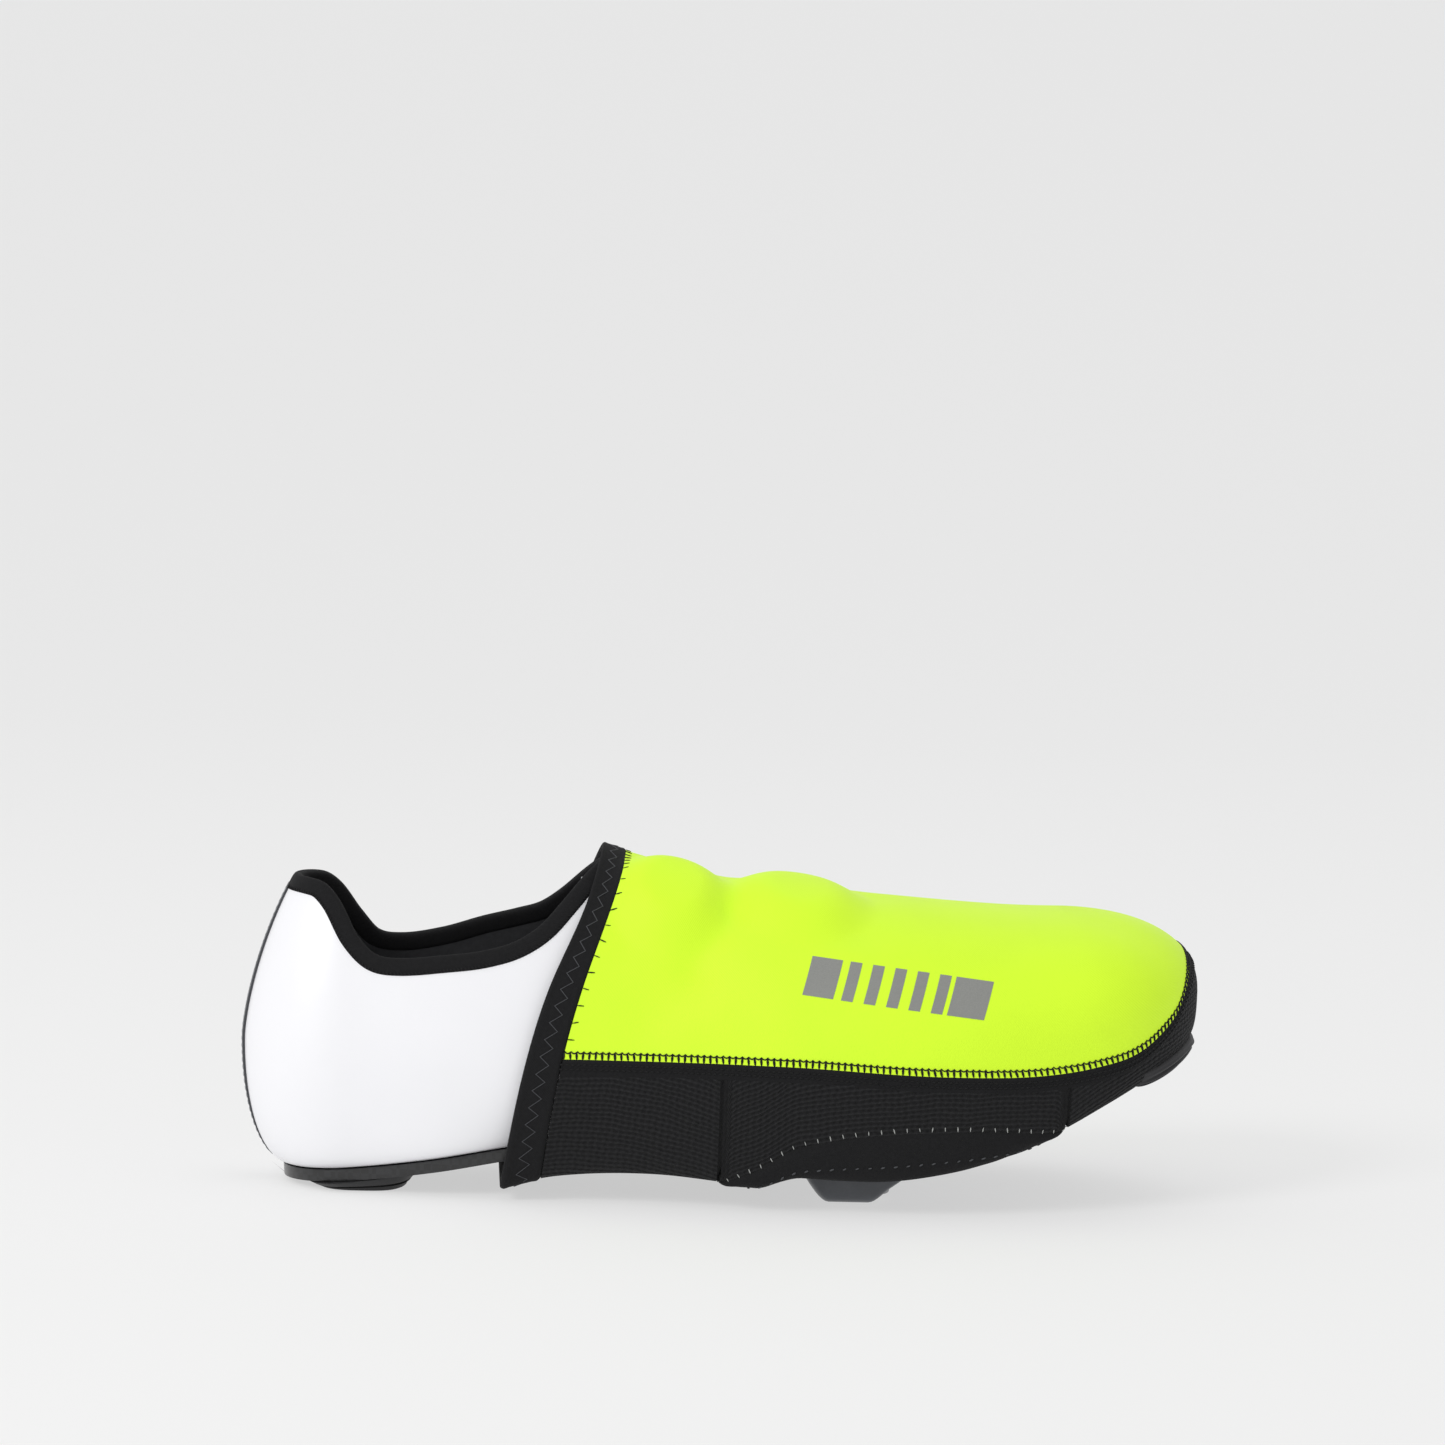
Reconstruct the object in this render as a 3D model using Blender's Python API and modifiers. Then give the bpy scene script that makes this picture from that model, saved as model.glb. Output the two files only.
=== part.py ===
"""Cycling toe cover worn on a road cycling shoe, right foot.

Metres, +Z up, toe towards +X, lateral side towards -Y, standing on its heel pad and cleat at Z = 0.
Every curved piece is read from one last: plan widths, heights and section shapes from the tables below.
"""

import math
from collections import namedtuple

import bmesh
import bpy
import numpy as np
from mathutils import Matrix, Vector

# Driving sizes of the shoe
SHOE_LENGTH = 0.288
BALL_WIDTH = 0.098
INSTEP_HEIGHT = 0.100
HEEL_REACH = 0.031
TOE_REACH = 0.040
UPPER_WALL = 0.0024
SOLE_THICKNESS = 0.0036
SOLE_MARGIN = 0.0015
SOLE_EDGE = 0.0008
INSOLE_THICKNESS = 0.0030
INSOLE_INSET = 0.0028
FIT_GAP = 0.0003

# Collar, tongue and heel strip
BINDING_HEIGHT = 0.0034
BINDING_PROUD = 0.0004
BINDING_END = 0.60
THROAT_AT = 0.388
TONGUE_FRONT_AT = 0.56
TONGUE_REAR_AT = 0.350
TONGUE_EDGE = 0.60
TONGUE_THICKNESS = 0.0018
TONGUE_GAP = 0.0022
TONGUE_TILT = 0.12
HEEL_STRIP_WIDTH = 0.0120
HEEL_STRIP_THICKNESS = 0.0007

# Heel pad and cleat
HEEL_PAD_LENGTH = 0.0345
HEEL_PAD_WIDTH = 0.0500
HEEL_PAD_START = 0.0195
HEEL_PAD_DRAFT = 0.0032
HEEL_PAD_EDGE = 0.0012
HEEL_PAD_SQUARENESS = 0.62
HEEL_PAD_STEPS = 28
CLEAT_LENGTH = 0.0660
CLEAT_WIDTH = 0.0620
CLEAT_START_AT = 0.583
CLEAT_CHAMFER = 0.0016
BOLT_HEAD_RADIUS = 0.0048
BOLT_HEAD_HEIGHT = 0.0030
BOLT_CLEARANCE = 0.0005
BOLT_RECESS = 0.0040

# Closure dials under the cover
DIAL_RADIUS = 0.0085
DIAL_HEIGHT = 0.0032

# Toe cover
COVER_WALL = 0.0025
COVER_GAP = 0.0008
COVER_TUCK = 0.0060
SEAM_GAP = 0.0005
HEM_THICKNESS = 0.0032
BAND_THICKNESS = 0.0029
BAND_WIDTH = 0.0105
OPENING_REAR_MARGIN = 0.0153
OPENING_FRONT_MARGIN = 0.0017
BAND_START = 0.012
OPENING_RISE = 1.64
OPENING_EDGE_RISE = 0.97
OPENING_SQUARENESS = 0.45
BUMPER_THICKNESS = 0.0012
BUMPER_RIB = 0.0018
BUMPER_EDGE = 0.0008
BUMPER_SWEEP = 60.0
BUMPER_FADE = 30.0

# The cleat opening, round the cleat with its margins. Its outer line is where the binding meets knit.
OPENING_HALF_LENGTH = (OPENING_REAR_MARGIN + CLEAT_LENGTH + OPENING_FRONT_MARGIN) / 2 + BAND_WIDTH
OPENING_CENTRE = (CLEAT_LENGTH + OPENING_FRONT_MARGIN - OPENING_REAR_MARGIN) / 2
OPENING_CENTRE_AT = CLEAT_START_AT + OPENING_CENTRE / SHOE_LENGTH

# The last, heel to toe. at is a share of SHOE_LENGTH. lateral, medial, axis and tuck are shares of
# BALL_WIDTH. feather, widest and ridge are heights above the ground as shares of INSTEP_HEIGHT, and
# behind the throat the ridge is the cone of the last, above the collar. crown is the exponent of the
# section above its widest level: 2 is an ellipse, more is squarer.
Section = namedtuple("Section", "at lateral medial axis feather widest ridge crown tuck")
LAST = [
    Section(0.00, 0.300, 0.290, 0.000, 0.045, 0.44, 1.10, 1.50, 0.143),
    Section(0.11, 0.318, 0.306, 0.000, 0.072, 0.42, 1.12, 1.50, 0.095),
    Section(0.20, 0.342, 0.337, 0.000, 0.112, 0.40, 1.14, 1.55, 0.066),
    Section(0.29, 0.354, 0.347, 0.002, 0.162, 0.40, 1.09, 1.62, 0.062),
    Section(0.38, 0.378, 0.347, 0.006, 0.195, 0.40, 1.006, 1.70, 0.061),
    Section(0.47, 0.424, 0.354, 0.010, 0.207, 0.40, 0.940, 1.85, 0.061),
    Section(0.56, 0.482, 0.381, 0.014, 0.202, 0.40, 0.910, 2.00, 0.061),
    Section(0.65, 0.518, 0.424, 0.020, 0.195, 0.41, 0.881, 2.10, 0.062),
    Section(0.74, 0.520, 0.460, 0.028, 0.228, 0.44, 0.859, 2.20, 0.066),
    Section(0.82, 0.500, 0.466, 0.040, 0.300, 0.50, 0.845, 2.35, 0.071),
    Section(0.90, 0.472, 0.445, 0.056, 0.418, 0.57, 0.842, 2.50, 0.082),
    Section(1.00, 0.440, 0.410, 0.072, 0.560, 0.63, 0.842, 2.60, 0.100),
]

# Top line of the white upper: heights on the two sides as shares of INSTEP_HEIGHT.
Collar = namedtuple("Collar", "at lateral medial")
COLLAR = [
    Collar(0.030, 0.905, 0.905),
    Collar(0.071, 0.898, 0.898),
    Collar(0.087, 0.860, 0.868),
    Collar(0.108, 0.758, 0.785),
    Collar(0.130, 0.697, 0.712),
    Collar(0.160, 0.681, 0.694),
    Collar(0.208, 0.694, 0.715),
    Collar(0.253, 0.713, 0.756),
    Collar(0.288, 0.746, 0.784),
    Collar(0.316, 0.800, 0.812),
    Collar(0.339, 0.872, 0.862),
    Collar(0.365, 0.955, 0.940),
    Collar(0.388, 1.010, 1.010),
]

# Seam between the cover's top and lower panels: height as a share of INSTEP_HEIGHT.
Seam = namedtuple("Seam", "at height")
SEAM = [
    Seam(0.30, 0.440),
    Seam(0.38, 0.443),
    Seam(0.56, 0.450),
    Seam(0.74, 0.434),
    Seam(0.82, 0.438),
    Seam(0.88, 0.462),
    Seam(0.93, 0.503),
    Seam(0.96, 0.565),
    Seam(0.975, 0.612),
    Seam(0.99, 0.705),
    Seam(1.00, 0.790),
    Seam(1.014, 0.950),
]

# Rear hem of the cover seen from the side: its two edges as shares of SHOE_LENGTH, by height.
Hem = namedtuple("Hem", "height front rear")
HEM = [
    Hem(0.00, 0.311, 0.2695),
    Hem(0.10, 0.314, 0.2740),
    Hem(0.44, 0.332, 0.2950),
    Hem(0.64, 0.350, 0.3150),
    Hem(0.90, 0.382, 0.3540),
    Hem(1.06, 0.400, 0.3720),
]

# How far the underside of the cover hangs below the sole, as a share of INSTEP_HEIGHT.
Hang = namedtuple("Hang", "at drop")
HANG = [
    Hang(0.26, 0.046),
    Hang(0.33, 0.026),
    Hang(0.43, 0.034),
    Hang(0.50, 0.048),
    Hang(0.53, 0.050),
    Hang(0.58, 0.008),
    Hang(0.80, 0.002),
    Hang(1.00, 0.000),
]

# The two closure dials that push the cover out. girth runs from 0 at the widest level to 1 at the ridge,
# lift is the height of the bulge in the cover as a share of DIAL_HEIGHT. core and skirt are its flat top
# and its foot as shares of DIAL_RADIUS.
Dial = namedtuple("Dial", "name at girth lift core skirt")
DIALS = [
    Dial("closure_dial_rear", 0.448, 0.70, 1.94, 1.00, 2.53),
    Dial("closure_dial_front", 0.590, 0.84, 1.63, 1.00, 2.65),
]

# Cleat from its heel to its nose: half width as a share of CLEAT_WIDTH, underside height as a share of
# INSTEP_HEIGHT.
CleatSection = namedtuple("CleatSection", "at half_width under")
CLEAT = [
    CleatSection(0.00, 0.36, 0.118),
    CleatSection(0.05, 0.44, 0.055),
    CleatSection(0.14, 0.50, 0.000),
    CleatSection(0.32, 0.50, 0.000),
    CleatSection(0.42, 0.48, 0.045),
    CleatSection(0.54, 0.43, 0.095),
    CleatSection(0.65, 0.37, 0.118),
    CleatSection(0.76, 0.30, 0.122),
    CleatSection(0.84, 0.26, 0.116),
    CleatSection(0.93, 0.24, 0.140),
    CleatSection(1.00, 0.22, 0.178),
]
# Bolts through the cleat: place along it and across it, as shares of CLEAT_LENGTH and CLEAT_WIDTH.
BOLTS = [
    ("cleat_bolt_lateral", 0.36, -0.27),
    ("cleat_bolt_medial", 0.36, 0.27),
    ("cleat_bolt_front", 0.74, 0.0),
]

# Ribs of the toe bumper: where each one starts and ends between the cover's front wall and its underside,
# and how far it stands out as a share of BUMPER_RIB.
Rib = namedtuple("Rib", "start end proud")
BUMPER_RIBS = [
    Rib(0.62, 0.70, 0.40),
    Rib(0.78, 0.86, 0.75),
    Rib(0.94, 1.02, 1.00),
    Rib(1.10, 1.42, 1.00),
    Rib(1.52, 1.62, 1.00),
]
BUMPER_SPAN = (0.56, 1.68)
BUMPER_FLANK = 0.004

# Rough length up the cover for one step of girth
GIRTH_REACH = INSTEP_HEIGHT / 2

PLAN_ROUNDNESS = 2.15
UNDER_ROUNDNESS = 3.0
FAN_STEPS = 6
LATERAL = -1
MEDIAL = 1

# Colours, linear RGB, with roughness and metallic
WHITE_MICROFIBRE = ("white_microfibre", (0.86, 0.86, 0.88), 0.45, 0.0)
BLACK_TAPE = ("black_tape", (0.020, 0.020, 0.022), 0.85, 0.0)
REFLECTIVE_GREY = ("reflective_grey", (0.16, 0.16, 0.17), 0.5, 0.2)
BLACK_COMPOSITE = ("black_composite", (0.022, 0.022, 0.024), 0.4, 0.0)
BLACK_RUBBER = ("black_rubber", (0.018, 0.018, 0.018), 0.7, 0.0)
GREY_NYLON = ("grey_nylon", (0.085, 0.087, 0.090), 0.45, 0.0)
STEEL = ("steel", (0.55, 0.55, 0.56), 0.35, 1.0)
YELLOW_NEOPRENE = ("yellow_neoprene", (0.70, 0.94, 0.06), 0.8, 0.0)
BLACK_KNIT = ("black_knit", (0.018, 0.018, 0.019), 0.9, 0.0)
GREY_FOAM = ("grey_foam", (0.05, 0.05, 0.055), 0.9, 0.0)
SILVER_TEXTILE = ("silver_textile", (0.55, 0.56, 0.57), 0.6, 0.0)


def smooth_curve(places, values):
    """A curve through a table's rows that rises and falls only where the rows do."""
    places, values = np.array(places, float), np.array(values, float)
    steps, slopes = np.diff(places), np.diff(values) / np.diff(places)
    tangents = np.concatenate([[slopes[0]], (slopes[:-1] + slopes[1:]) / 2, [slopes[-1]]])
    for i, slope in enumerate(slopes):
        if slope == 0:
            tangents[i] = tangents[i + 1] = 0
            continue
        a, b = tangents[i] / slope, tangents[i + 1] / slope
        if min(a, b) < 0:
            tangents[i if a < 0 else i + 1] = 0
        elif math.hypot(a, b) > 3:
            tangents[i], tangents[i + 1] = (3 * slope * k / math.hypot(a, b) for k in (a, b))

    def at(place):
        place = min(max(place, places[0]), places[-1])
        i = min(int(np.searchsorted(places, place, "right")) - 1, len(steps) - 1)
        s, h = (place - places[i]) / steps[i], steps[i]
        return float(
            values[i] * (1 + 2 * s) * (1 - s) ** 2
            + tangents[i] * h * s * (1 - s) ** 2
            + values[i + 1] * s * s * (3 - 2 * s)
            + tangents[i + 1] * h * s * s * (s - 1)
        )

    return at


def columns_of(rows, unit_of):
    """One smooth curve for each column, in metres where unit_of names the size it is a share of."""
    first, *others = rows[0]._fields
    places = [getattr(r, first) for r in rows]
    return {n: smooth_curve(places, [getattr(r, n) * unit_of.get(n, 1) for r in rows]) for n in others}


LAST_AT = columns_of(
    LAST,
    {n: BALL_WIDTH for n in ("lateral", "medial", "axis", "tuck")}
    | {n: INSTEP_HEIGHT for n in ("feather", "widest", "ridge")},
)
COLLAR_AT = columns_of(COLLAR, {"lateral": INSTEP_HEIGHT, "medial": INSTEP_HEIGHT})
SEAM_AT = columns_of(SEAM, {"height": INSTEP_HEIGHT})
HEM_AT = columns_of(HEM, {"front": SHOE_LENGTH, "rear": SHOE_LENGTH})
HANG_AT = columns_of(HANG, {"drop": INSTEP_HEIGHT})
CLEAT_AT = columns_of(CLEAT, {"half_width": CLEAT_WIDTH, "under": INSTEP_HEIGHT})

HEEL_X = -(SHOE_LENGTH + COVER_WALL + COVER_GAP) / 2
AXIS_REAR_AT = HEEL_REACH / SHOE_LENGTH
AXIS_FRONT_AT = 1 - TOE_REACH / SHOE_LENGTH


def x_of(at):
    return HEEL_X + at * SHOE_LENGTH


def share_of(x):
    return (x - HEEL_X) / SHOE_LENGTH


# A column is one way up the shoe: its foot on the axis of the last, as a share of the length, and how
# far it fans out round the heel (down to -90 degrees) or the toe (up to 90 degrees).
Column = namedtuple("Column", "at fan")


def outline(column, side, grow):
    """Axis point and widest point of a column in plan, for a last grown outwards by grow."""
    name = "lateral" if side == LATERAL else "medial"
    along, across = (abs(f(math.radians(column.fan))) ** (2 / PLAN_ROUNDNESS) for f in (math.sin, math.cos))
    reach = (TOE_REACH if column.fan > 0 else -HEEL_REACH) + math.copysign(grow, column.fan)
    x = x_of(column.at) + reach * along
    half = (LAST_AT[name](share_of(x)) + grow) * across
    axis = Vector((x_of(column.at), LAST_AT["axis"](column.at), 0))
    return axis, Vector((x, LAST_AT["axis"](share_of(x)) + side * half, 0))


def crown_point(column, side, girth, grow):
    """A point above the widest level. girth is 0 at the widest level and 1 on the ridge."""
    axis, wide = outline(column, side, grow)
    power = 2 / LAST_AT["crown"](column.at)
    angle = math.radians(90 * girth)
    low = LAST_AT["widest"](share_of(wide.x))
    top = LAST_AT["ridge"](column.at) + grow
    point = axis.lerp(wide, max(math.cos(angle), 0) ** power)
    point.z = low + (top - low) * max(math.sin(angle), 0) ** power
    return point


def shoe_point(column, side, girth, grow=0.0):
    """A point of the upper. girth is 1 on the ridge, 0 at the widest level and -1 on the feather edge."""
    if girth >= 0:
        return crown_point(column, side, girth, grow)
    axis, wide = outline(column, side, grow)
    angle = math.radians(-90 * girth)
    at = share_of(wide.x)
    tuck = LAST_AT["tuck"](at) + grow
    point = wide + (axis - wide).normalized() * tuck * (1 - math.cos(angle))
    low, foot = LAST_AT["widest"](at), LAST_AT["feather"](share_of(point.x))
    point.z = low - (low - foot) * math.sin(angle)
    return point


def sole_bottom(x):
    return LAST_AT["feather"](share_of(x)) - FIT_GAP - SOLE_THICKNESS


def dial_centre(dial):
    return shoe_point(Column(dial.at, 0), LATERAL, dial.girth)


def bulge(point):
    """How far the dials push the cover out at a point."""
    out = 0.0
    for dial in DIALS:
        far = (point - dial_centre(dial)).length / DIAL_RADIUS
        far = min(max((far - dial.core) / (dial.skirt - dial.core), 0), 1)
        out += dial.lift * DIAL_HEIGHT * (1 - far * far * (3 - 2 * far))
    return out


def cover_point(column, side, girth, grow=COVER_GAP + COVER_WALL):
    """A point of the cover. girth is 1 on the ridge, 0 at the widest level, -1 at the turn of the
    underside and -2 on the middle line under the sole."""
    axis, wide = outline(column, side, grow)
    at = share_of(wide.x)
    if girth >= 0:
        point = crown_point(column, side, girth, grow)
        centre = Vector((point.x, axis.y, LAST_AT["widest"](at)))
        return point + (point - centre).normalized() * bulge(point)
    low = LAST_AT["widest"](at)
    angle = math.radians(90 * min(-girth, 1))
    power = 2 / UNDER_ROUNDNESS
    tuck = COVER_TUCK * (1 - max(math.cos(angle), 0) ** power)
    point = wide + (axis - wide).normalized() * tuck
    if girth < -1:
        point = point.lerp(axis, -girth - 1)
    foot = sole_bottom(point.x) - HANG_AT["drop"](share_of(point.x)) - grow
    point.z = low - (low - foot) * max(math.sin(angle), 0) ** power
    return point


def crossing(height_above, low, high):
    """Where height_above changes sign between low and high, by halving."""
    for _ in range(40):
        middle = (low + high) / 2
        if (height_above(low) > 0) == (height_above(middle) > 0):
            low = middle
        else:
            high = middle
    return (low + high) / 2


def collar_girth(column, side):
    """The girth at which a column of the upper meets the collar line."""
    name = "lateral" if side == LATERAL else "medial"
    if column.at >= THROAT_AT:
        return 1.0

    def above(girth):
        point = shoe_point(column, side, girth)
        return point.z - COLLAR_AT[name](share_of(point.x))

    return crossing(above, 0.0, 1.0)


def seam_girth(column, side):
    """The girth at which a column of the cover meets the seam between its two panels."""

    def above(girth):
        point = cover_point(column, side, girth)
        return point.z - SEAM_AT["height"](share_of(point.x))

    return crossing(above, -0.5, 1.0)


def opening_girth(at):
    """Where the knit of the lower panel stops: at the cleat opening's binding, or the middle line."""
    far = (x_of(at) - x_of(OPENING_CENTRE_AT)) / OPENING_HALF_LENGTH
    return -2 + OPENING_RISE * max(1 - far * far, 0) ** (OPENING_SQUARENESS / 2)


def hem_at(column, side, girth, edge, grow=COVER_GAP + COVER_WALL):
    """Share of the length at which the hem's front or rear edge crosses a girth."""
    at = column.at
    for _ in range(12):
        height = cover_point(Column(at, 0), side, girth, grow).z / INSTEP_HEIGHT
        at = HEM_AT[edge](height) / SHOE_LENGTH
    return at


def fan_columns(sign):
    """Columns fanning round the heel (sign -1) or the toe (sign 1), from the side to the end."""
    at = AXIS_FRONT_AT if sign > 0 else AXIS_REAR_AT
    return [Column(at, sign * 90 * i / FAN_STEPS) for i in range(1, FAN_STEPS + 1)]


def side_columns(shares):
    return [Column(at, 0) for at in shares]


def all_round(columns):
    """Columns with their sides: along the lateral side to the toe and back along the medial side."""
    there = [(c, LATERAL) for c in columns]
    back = [(c, MEDIAL) for c in reversed(columns) if abs(c.fan) < 90]
    return there + back


def new_material(finish):
    name, colour, roughness, metallic = finish
    material = bpy.data.materials.get(name)
    if material is None:
        material = bpy.data.materials.new(name)
        material.use_nodes = True
        shader = material.node_tree.nodes["Principled BSDF"]
        shader.inputs["Base Color"].default_value = (*colour, 1)
        shader.inputs["Roughness"].default_value = roughness
        shader.inputs["Metallic"].default_value = metallic
    return material


def link(obj, collection_name):
    collection = bpy.data.collections.get(collection_name)
    if collection is None:
        collection = bpy.data.collections.new(collection_name)
        bpy.context.scene.collection.children.link(collection)
    collection.objects.link(obj)


def mesh_object(name, points, faces, finish, collection="cycling_toe_cover"):
    """An object from points and faces, with points that meet merged into one."""
    mesh = bpy.data.meshes.new(name)
    mesh.from_pydata([tuple(p) for p in points], [], faces)
    shape = bmesh.new()
    shape.from_mesh(mesh)
    bmesh.ops.remove_doubles(shape, verts=shape.verts, dist=1e-6)
    bmesh.ops.dissolve_degenerate(shape, edges=shape.edges, dist=1e-7)
    shape.to_mesh(mesh)
    shape.free()
    mesh.materials.append(new_material(finish))
    mesh.shade_smooth()
    mesh.set_sharp_from_angle(angle=math.radians(40))
    obj = bpy.data.objects.new(name, mesh)
    link(obj, collection)
    return obj


def sheet(name, ways, finish, closed=False):
    """An open surface from a list of ways, each a list of points from its low edge to its high edge."""
    height = len(ways[0])
    points = [p for way in ways for p in way]
    pairs = [(i, (i + 1) % len(ways)) for i in range(len(ways) - (0 if closed else 1))]
    faces = [
        (a * height + j, b * height + j, b * height + j + 1, a * height + j + 1)
        for a, b in pairs
        for j in range(height - 1)
    ]
    return mesh_object(name, points, faces, finish)


def thicken(obj, thickness, outwards=False):
    wall = obj.modifiers.new("wall", "SOLIDIFY")
    wall.thickness = thickness
    wall.offset = 1 if outwards else -1
    wall.use_even_offset = True
    return obj


def between(low, high, steps):
    return [low + (high - low) * i / steps for i in range(steps + 1)]


def ring_solid(name, rings, finish, paired_caps=False):
    """A solid through closed rings of equal length. Paired caps join point k of an end ring to point -k,
    for an end that isn't flat."""
    count = len(rings[0])
    points = [p for ring in rings for p in ring]
    faces = []
    for r in range(len(rings) - 1):
        for k in range(count):
            a, b = r * count + k, r * count + (k + 1) % count
            faces.append((a, b, b + count, a + count))
    last = (len(rings) - 1) * count
    if paired_caps:
        for k in range(count // 2):
            a, b, c, d = k, k + 1, (count - k - 1) % count, (count - k) % count
            faces.append((d, c, b, a))
            faces.append((last + a, last + b, last + c, last + d))
    else:
        faces.append(tuple(reversed(range(count))))
        faces.append(tuple(range(last, last + count)))
    return mesh_object(name, points, faces, finish)


SHOE_SIDE = between(AXIS_REAR_AT, THROAT_AT, 10) + between(THROAT_AT, AXIS_FRONT_AT, 9)[1:]


def shoe_columns():
    heel, toe = fan_columns(-1), fan_columns(1)
    return list(reversed(heel)) + side_columns(SHOE_SIDE) + toe


def upper_rise(top):
    """Girths of the upper's rows, from the feather edge to its top."""
    return [-1, -0.72, -0.42] + between(0, top, 6)


def shoe_upper():
    """White upper: one shell from the feather edge to the collar line, closed over the vamp."""
    ways = []
    for column, side in all_round(shoe_columns()):
        rise = upper_rise(collar_girth(column, side))
        ways.append([shoe_point(column, side, girth) for girth in rise])
    return thicken(sheet("shoe_upper", ways, WHITE_MICROFIBRE, closed=True), UPPER_WALL)


def collar_path():
    """Points of the collar line from the lateral throat round the heel to the medial throat, each with
    the way up the upper there."""
    columns = side_columns(reversed([at for at in SHOE_SIDE if at < THROAT_AT - 0.001])) + fan_columns(-1)
    ways = [(c, LATERAL) for c in columns]
    ways += [(c, MEDIAL) for c in reversed(columns) if c.fan > -90]
    path = []
    for column, side in ways:
        girth = collar_girth(column, side)
        point = shoe_point(column, side, girth)
        up = (shoe_point(column, side, girth + 0.01) - point).normalized()
        path.append((point, up))
    throat = shoe_point(Column(THROAT_AT, 0), LATERAL, 1)
    ends = [(point.lerp(throat, BINDING_END), up) for point, up in (path[0], path[-1])]
    return [ends[0]] + path + [ends[1]]


def collar_binding():
    """Black tape round the collar, a band that stands on the upper's edge."""
    path = collar_path()
    rings = []
    for i, (point, up) in enumerate(path):
        ahead, behind = path[min(i + 1, len(path) - 1)][0], path[max(i - 1, 0)][0]
        along = (ahead - behind).normalized()
        up = (up - along * up.dot(along)).normalized()
        out = up.cross(along)
        centre = point - out * UPPER_WALL / 2 + up * (FIT_GAP + BINDING_HEIGHT / 2)
        ring = []
        for k in range(10):
            angle = 2 * math.pi * k / 10
            across, rise = (math.copysign(abs(f) ** 0.6, f) for f in (math.cos(angle), math.sin(angle)))
            half = UPPER_WALL / 2 + BINDING_PROUD
            ring.append(centre + out * half * across + up * BINDING_HEIGHT / 2 * rise)
        rings.append(ring)
    return ring_solid("collar_binding", rings, BLACK_TAPE)


def tongue():
    """Tongue under the throat. Behind the throat it keeps the section that it has there."""
    ways = []
    inside = -(UPPER_WALL + TONGUE_GAP)
    shares = between(TONGUE_REAR_AT, THROAT_AT, 3) + between(THROAT_AT, TONGUE_FRONT_AT, 6)[1:]
    for side in (LATERAL, MEDIAL):
        order = shares if side == LATERAL else reversed(shares)
        for at in order:
            column = Column(max(at, THROAT_AT), 0)
            way = [shoe_point(column, side, g, inside) for g in between(TONGUE_EDGE, 1, 5)]
            shift = x_of(at) - x_of(column.at)
            ways.append([p + Vector((shift, 0, shift * TONGUE_TILT)) for p in way])
    half = len(ways) // 2
    joined = [a + list(reversed(b))[1:] for a, b in zip(ways[:half], reversed(ways[half:]))]
    return thicken(sheet("tongue", joined, SILVER_TEXTILE), TONGUE_THICKNESS)


def heel_strip():
    """Reflective strip down the back of the heel."""
    half = (LAST_AT["lateral"](0) + LAST_AT["medial"](0)) / 2
    widest = math.degrees(math.acos((HEEL_STRIP_WIDTH / 2 / half) ** (PLAN_ROUNDNESS / 2)))
    fans = [Column(AXIS_REAR_AT, -f) for f in between(widest, 90, 3)]
    ways = []
    for column, side in [(c, MEDIAL) for c in fans] + [(c, LATERAL) for c in reversed(fans[:-1])]:
        rise = upper_rise(collar_girth(column, side))
        rise = rise[1:-1] + [rise[-2] * 0.1 + rise[-1] * 0.9]
        ways.append([shoe_point(column, side, g, FIT_GAP) for g in rise])
    strip = sheet("heel_strip", ways, REFLECTIVE_GREY)
    return thicken(strip, HEEL_STRIP_THICKNESS, outwards=True)


def sole_rows(inset, lift):
    """Rows across the sole, heel to toe: lateral edge, middle and medial edge."""
    rows = []
    for column in shoe_columns():
        ends = []
        for side in (LATERAL, MEDIAL):
            axis, wide = outline(column, side, 0.0)
            at = share_of(wide.x)
            point = wide + (axis - wide).normalized() * (LAST_AT["tuck"](at) + inset)
            point.z = LAST_AT["feather"](share_of(point.x)) + lift
            ends.append(point)
        rows.append([ends[0], ends[0].lerp(ends[1], 0.5), ends[1]])
    return rows


def soften(obj, width):
    bevel = obj.modifiers.new("soft_edges", "BEVEL")
    bevel.width = width
    bevel.segments = 2
    bevel.angle_limit = math.radians(55)
    return obj


def sole_plate():
    plate = sheet("sole_plate", sole_rows(-SOLE_MARGIN, -FIT_GAP), BLACK_COMPOSITE)
    return soften(thicken(plate, SOLE_THICKNESS), SOLE_EDGE)


def insole():
    board = sheet("insole", sole_rows(INSOLE_INSET, 0.0), GREY_FOAM)
    return thicken(board, INSOLE_THICKNESS, outwards=True)


def heel_pad():
    """Rubber block under the heel, its top following the sole and its foot flat on the ground."""
    start = x_of(0) + HEEL_PAD_START
    centre = start + HEEL_PAD_LENGTH / 2

    def ring(inset, height_of):
        points = []
        for k in range(HEEL_PAD_STEPS):
            angle = math.pi + 2 * math.pi * k / HEEL_PAD_STEPS
            turns = (math.cos(angle), math.sin(angle))
            along, across = (math.copysign(abs(f) ** HEEL_PAD_SQUARENESS, f) for f in turns)
            x = centre + (HEEL_PAD_LENGTH / 2 - inset) * along
            points.append(Vector((x, (HEEL_PAD_WIDTH / 2 - inset) * across, height_of(x))))
        return points

    def seat(x):
        return sole_bottom(x) - FIT_GAP

    rings = [
        ring(HEEL_PAD_DRAFT + HEEL_PAD_EDGE, lambda x: 0.0),
        ring(HEEL_PAD_DRAFT, lambda x: min(HEEL_PAD_EDGE, seat(x) / 2)),
        ring(HEEL_PAD_DRAFT * 0.2, lambda x: seat(x) * 0.8),
        ring(0.0, seat),
    ]
    pad = ring_solid("heel_pad", rings, BLACK_RUBBER, paired_caps=True)
    return pad


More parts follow.
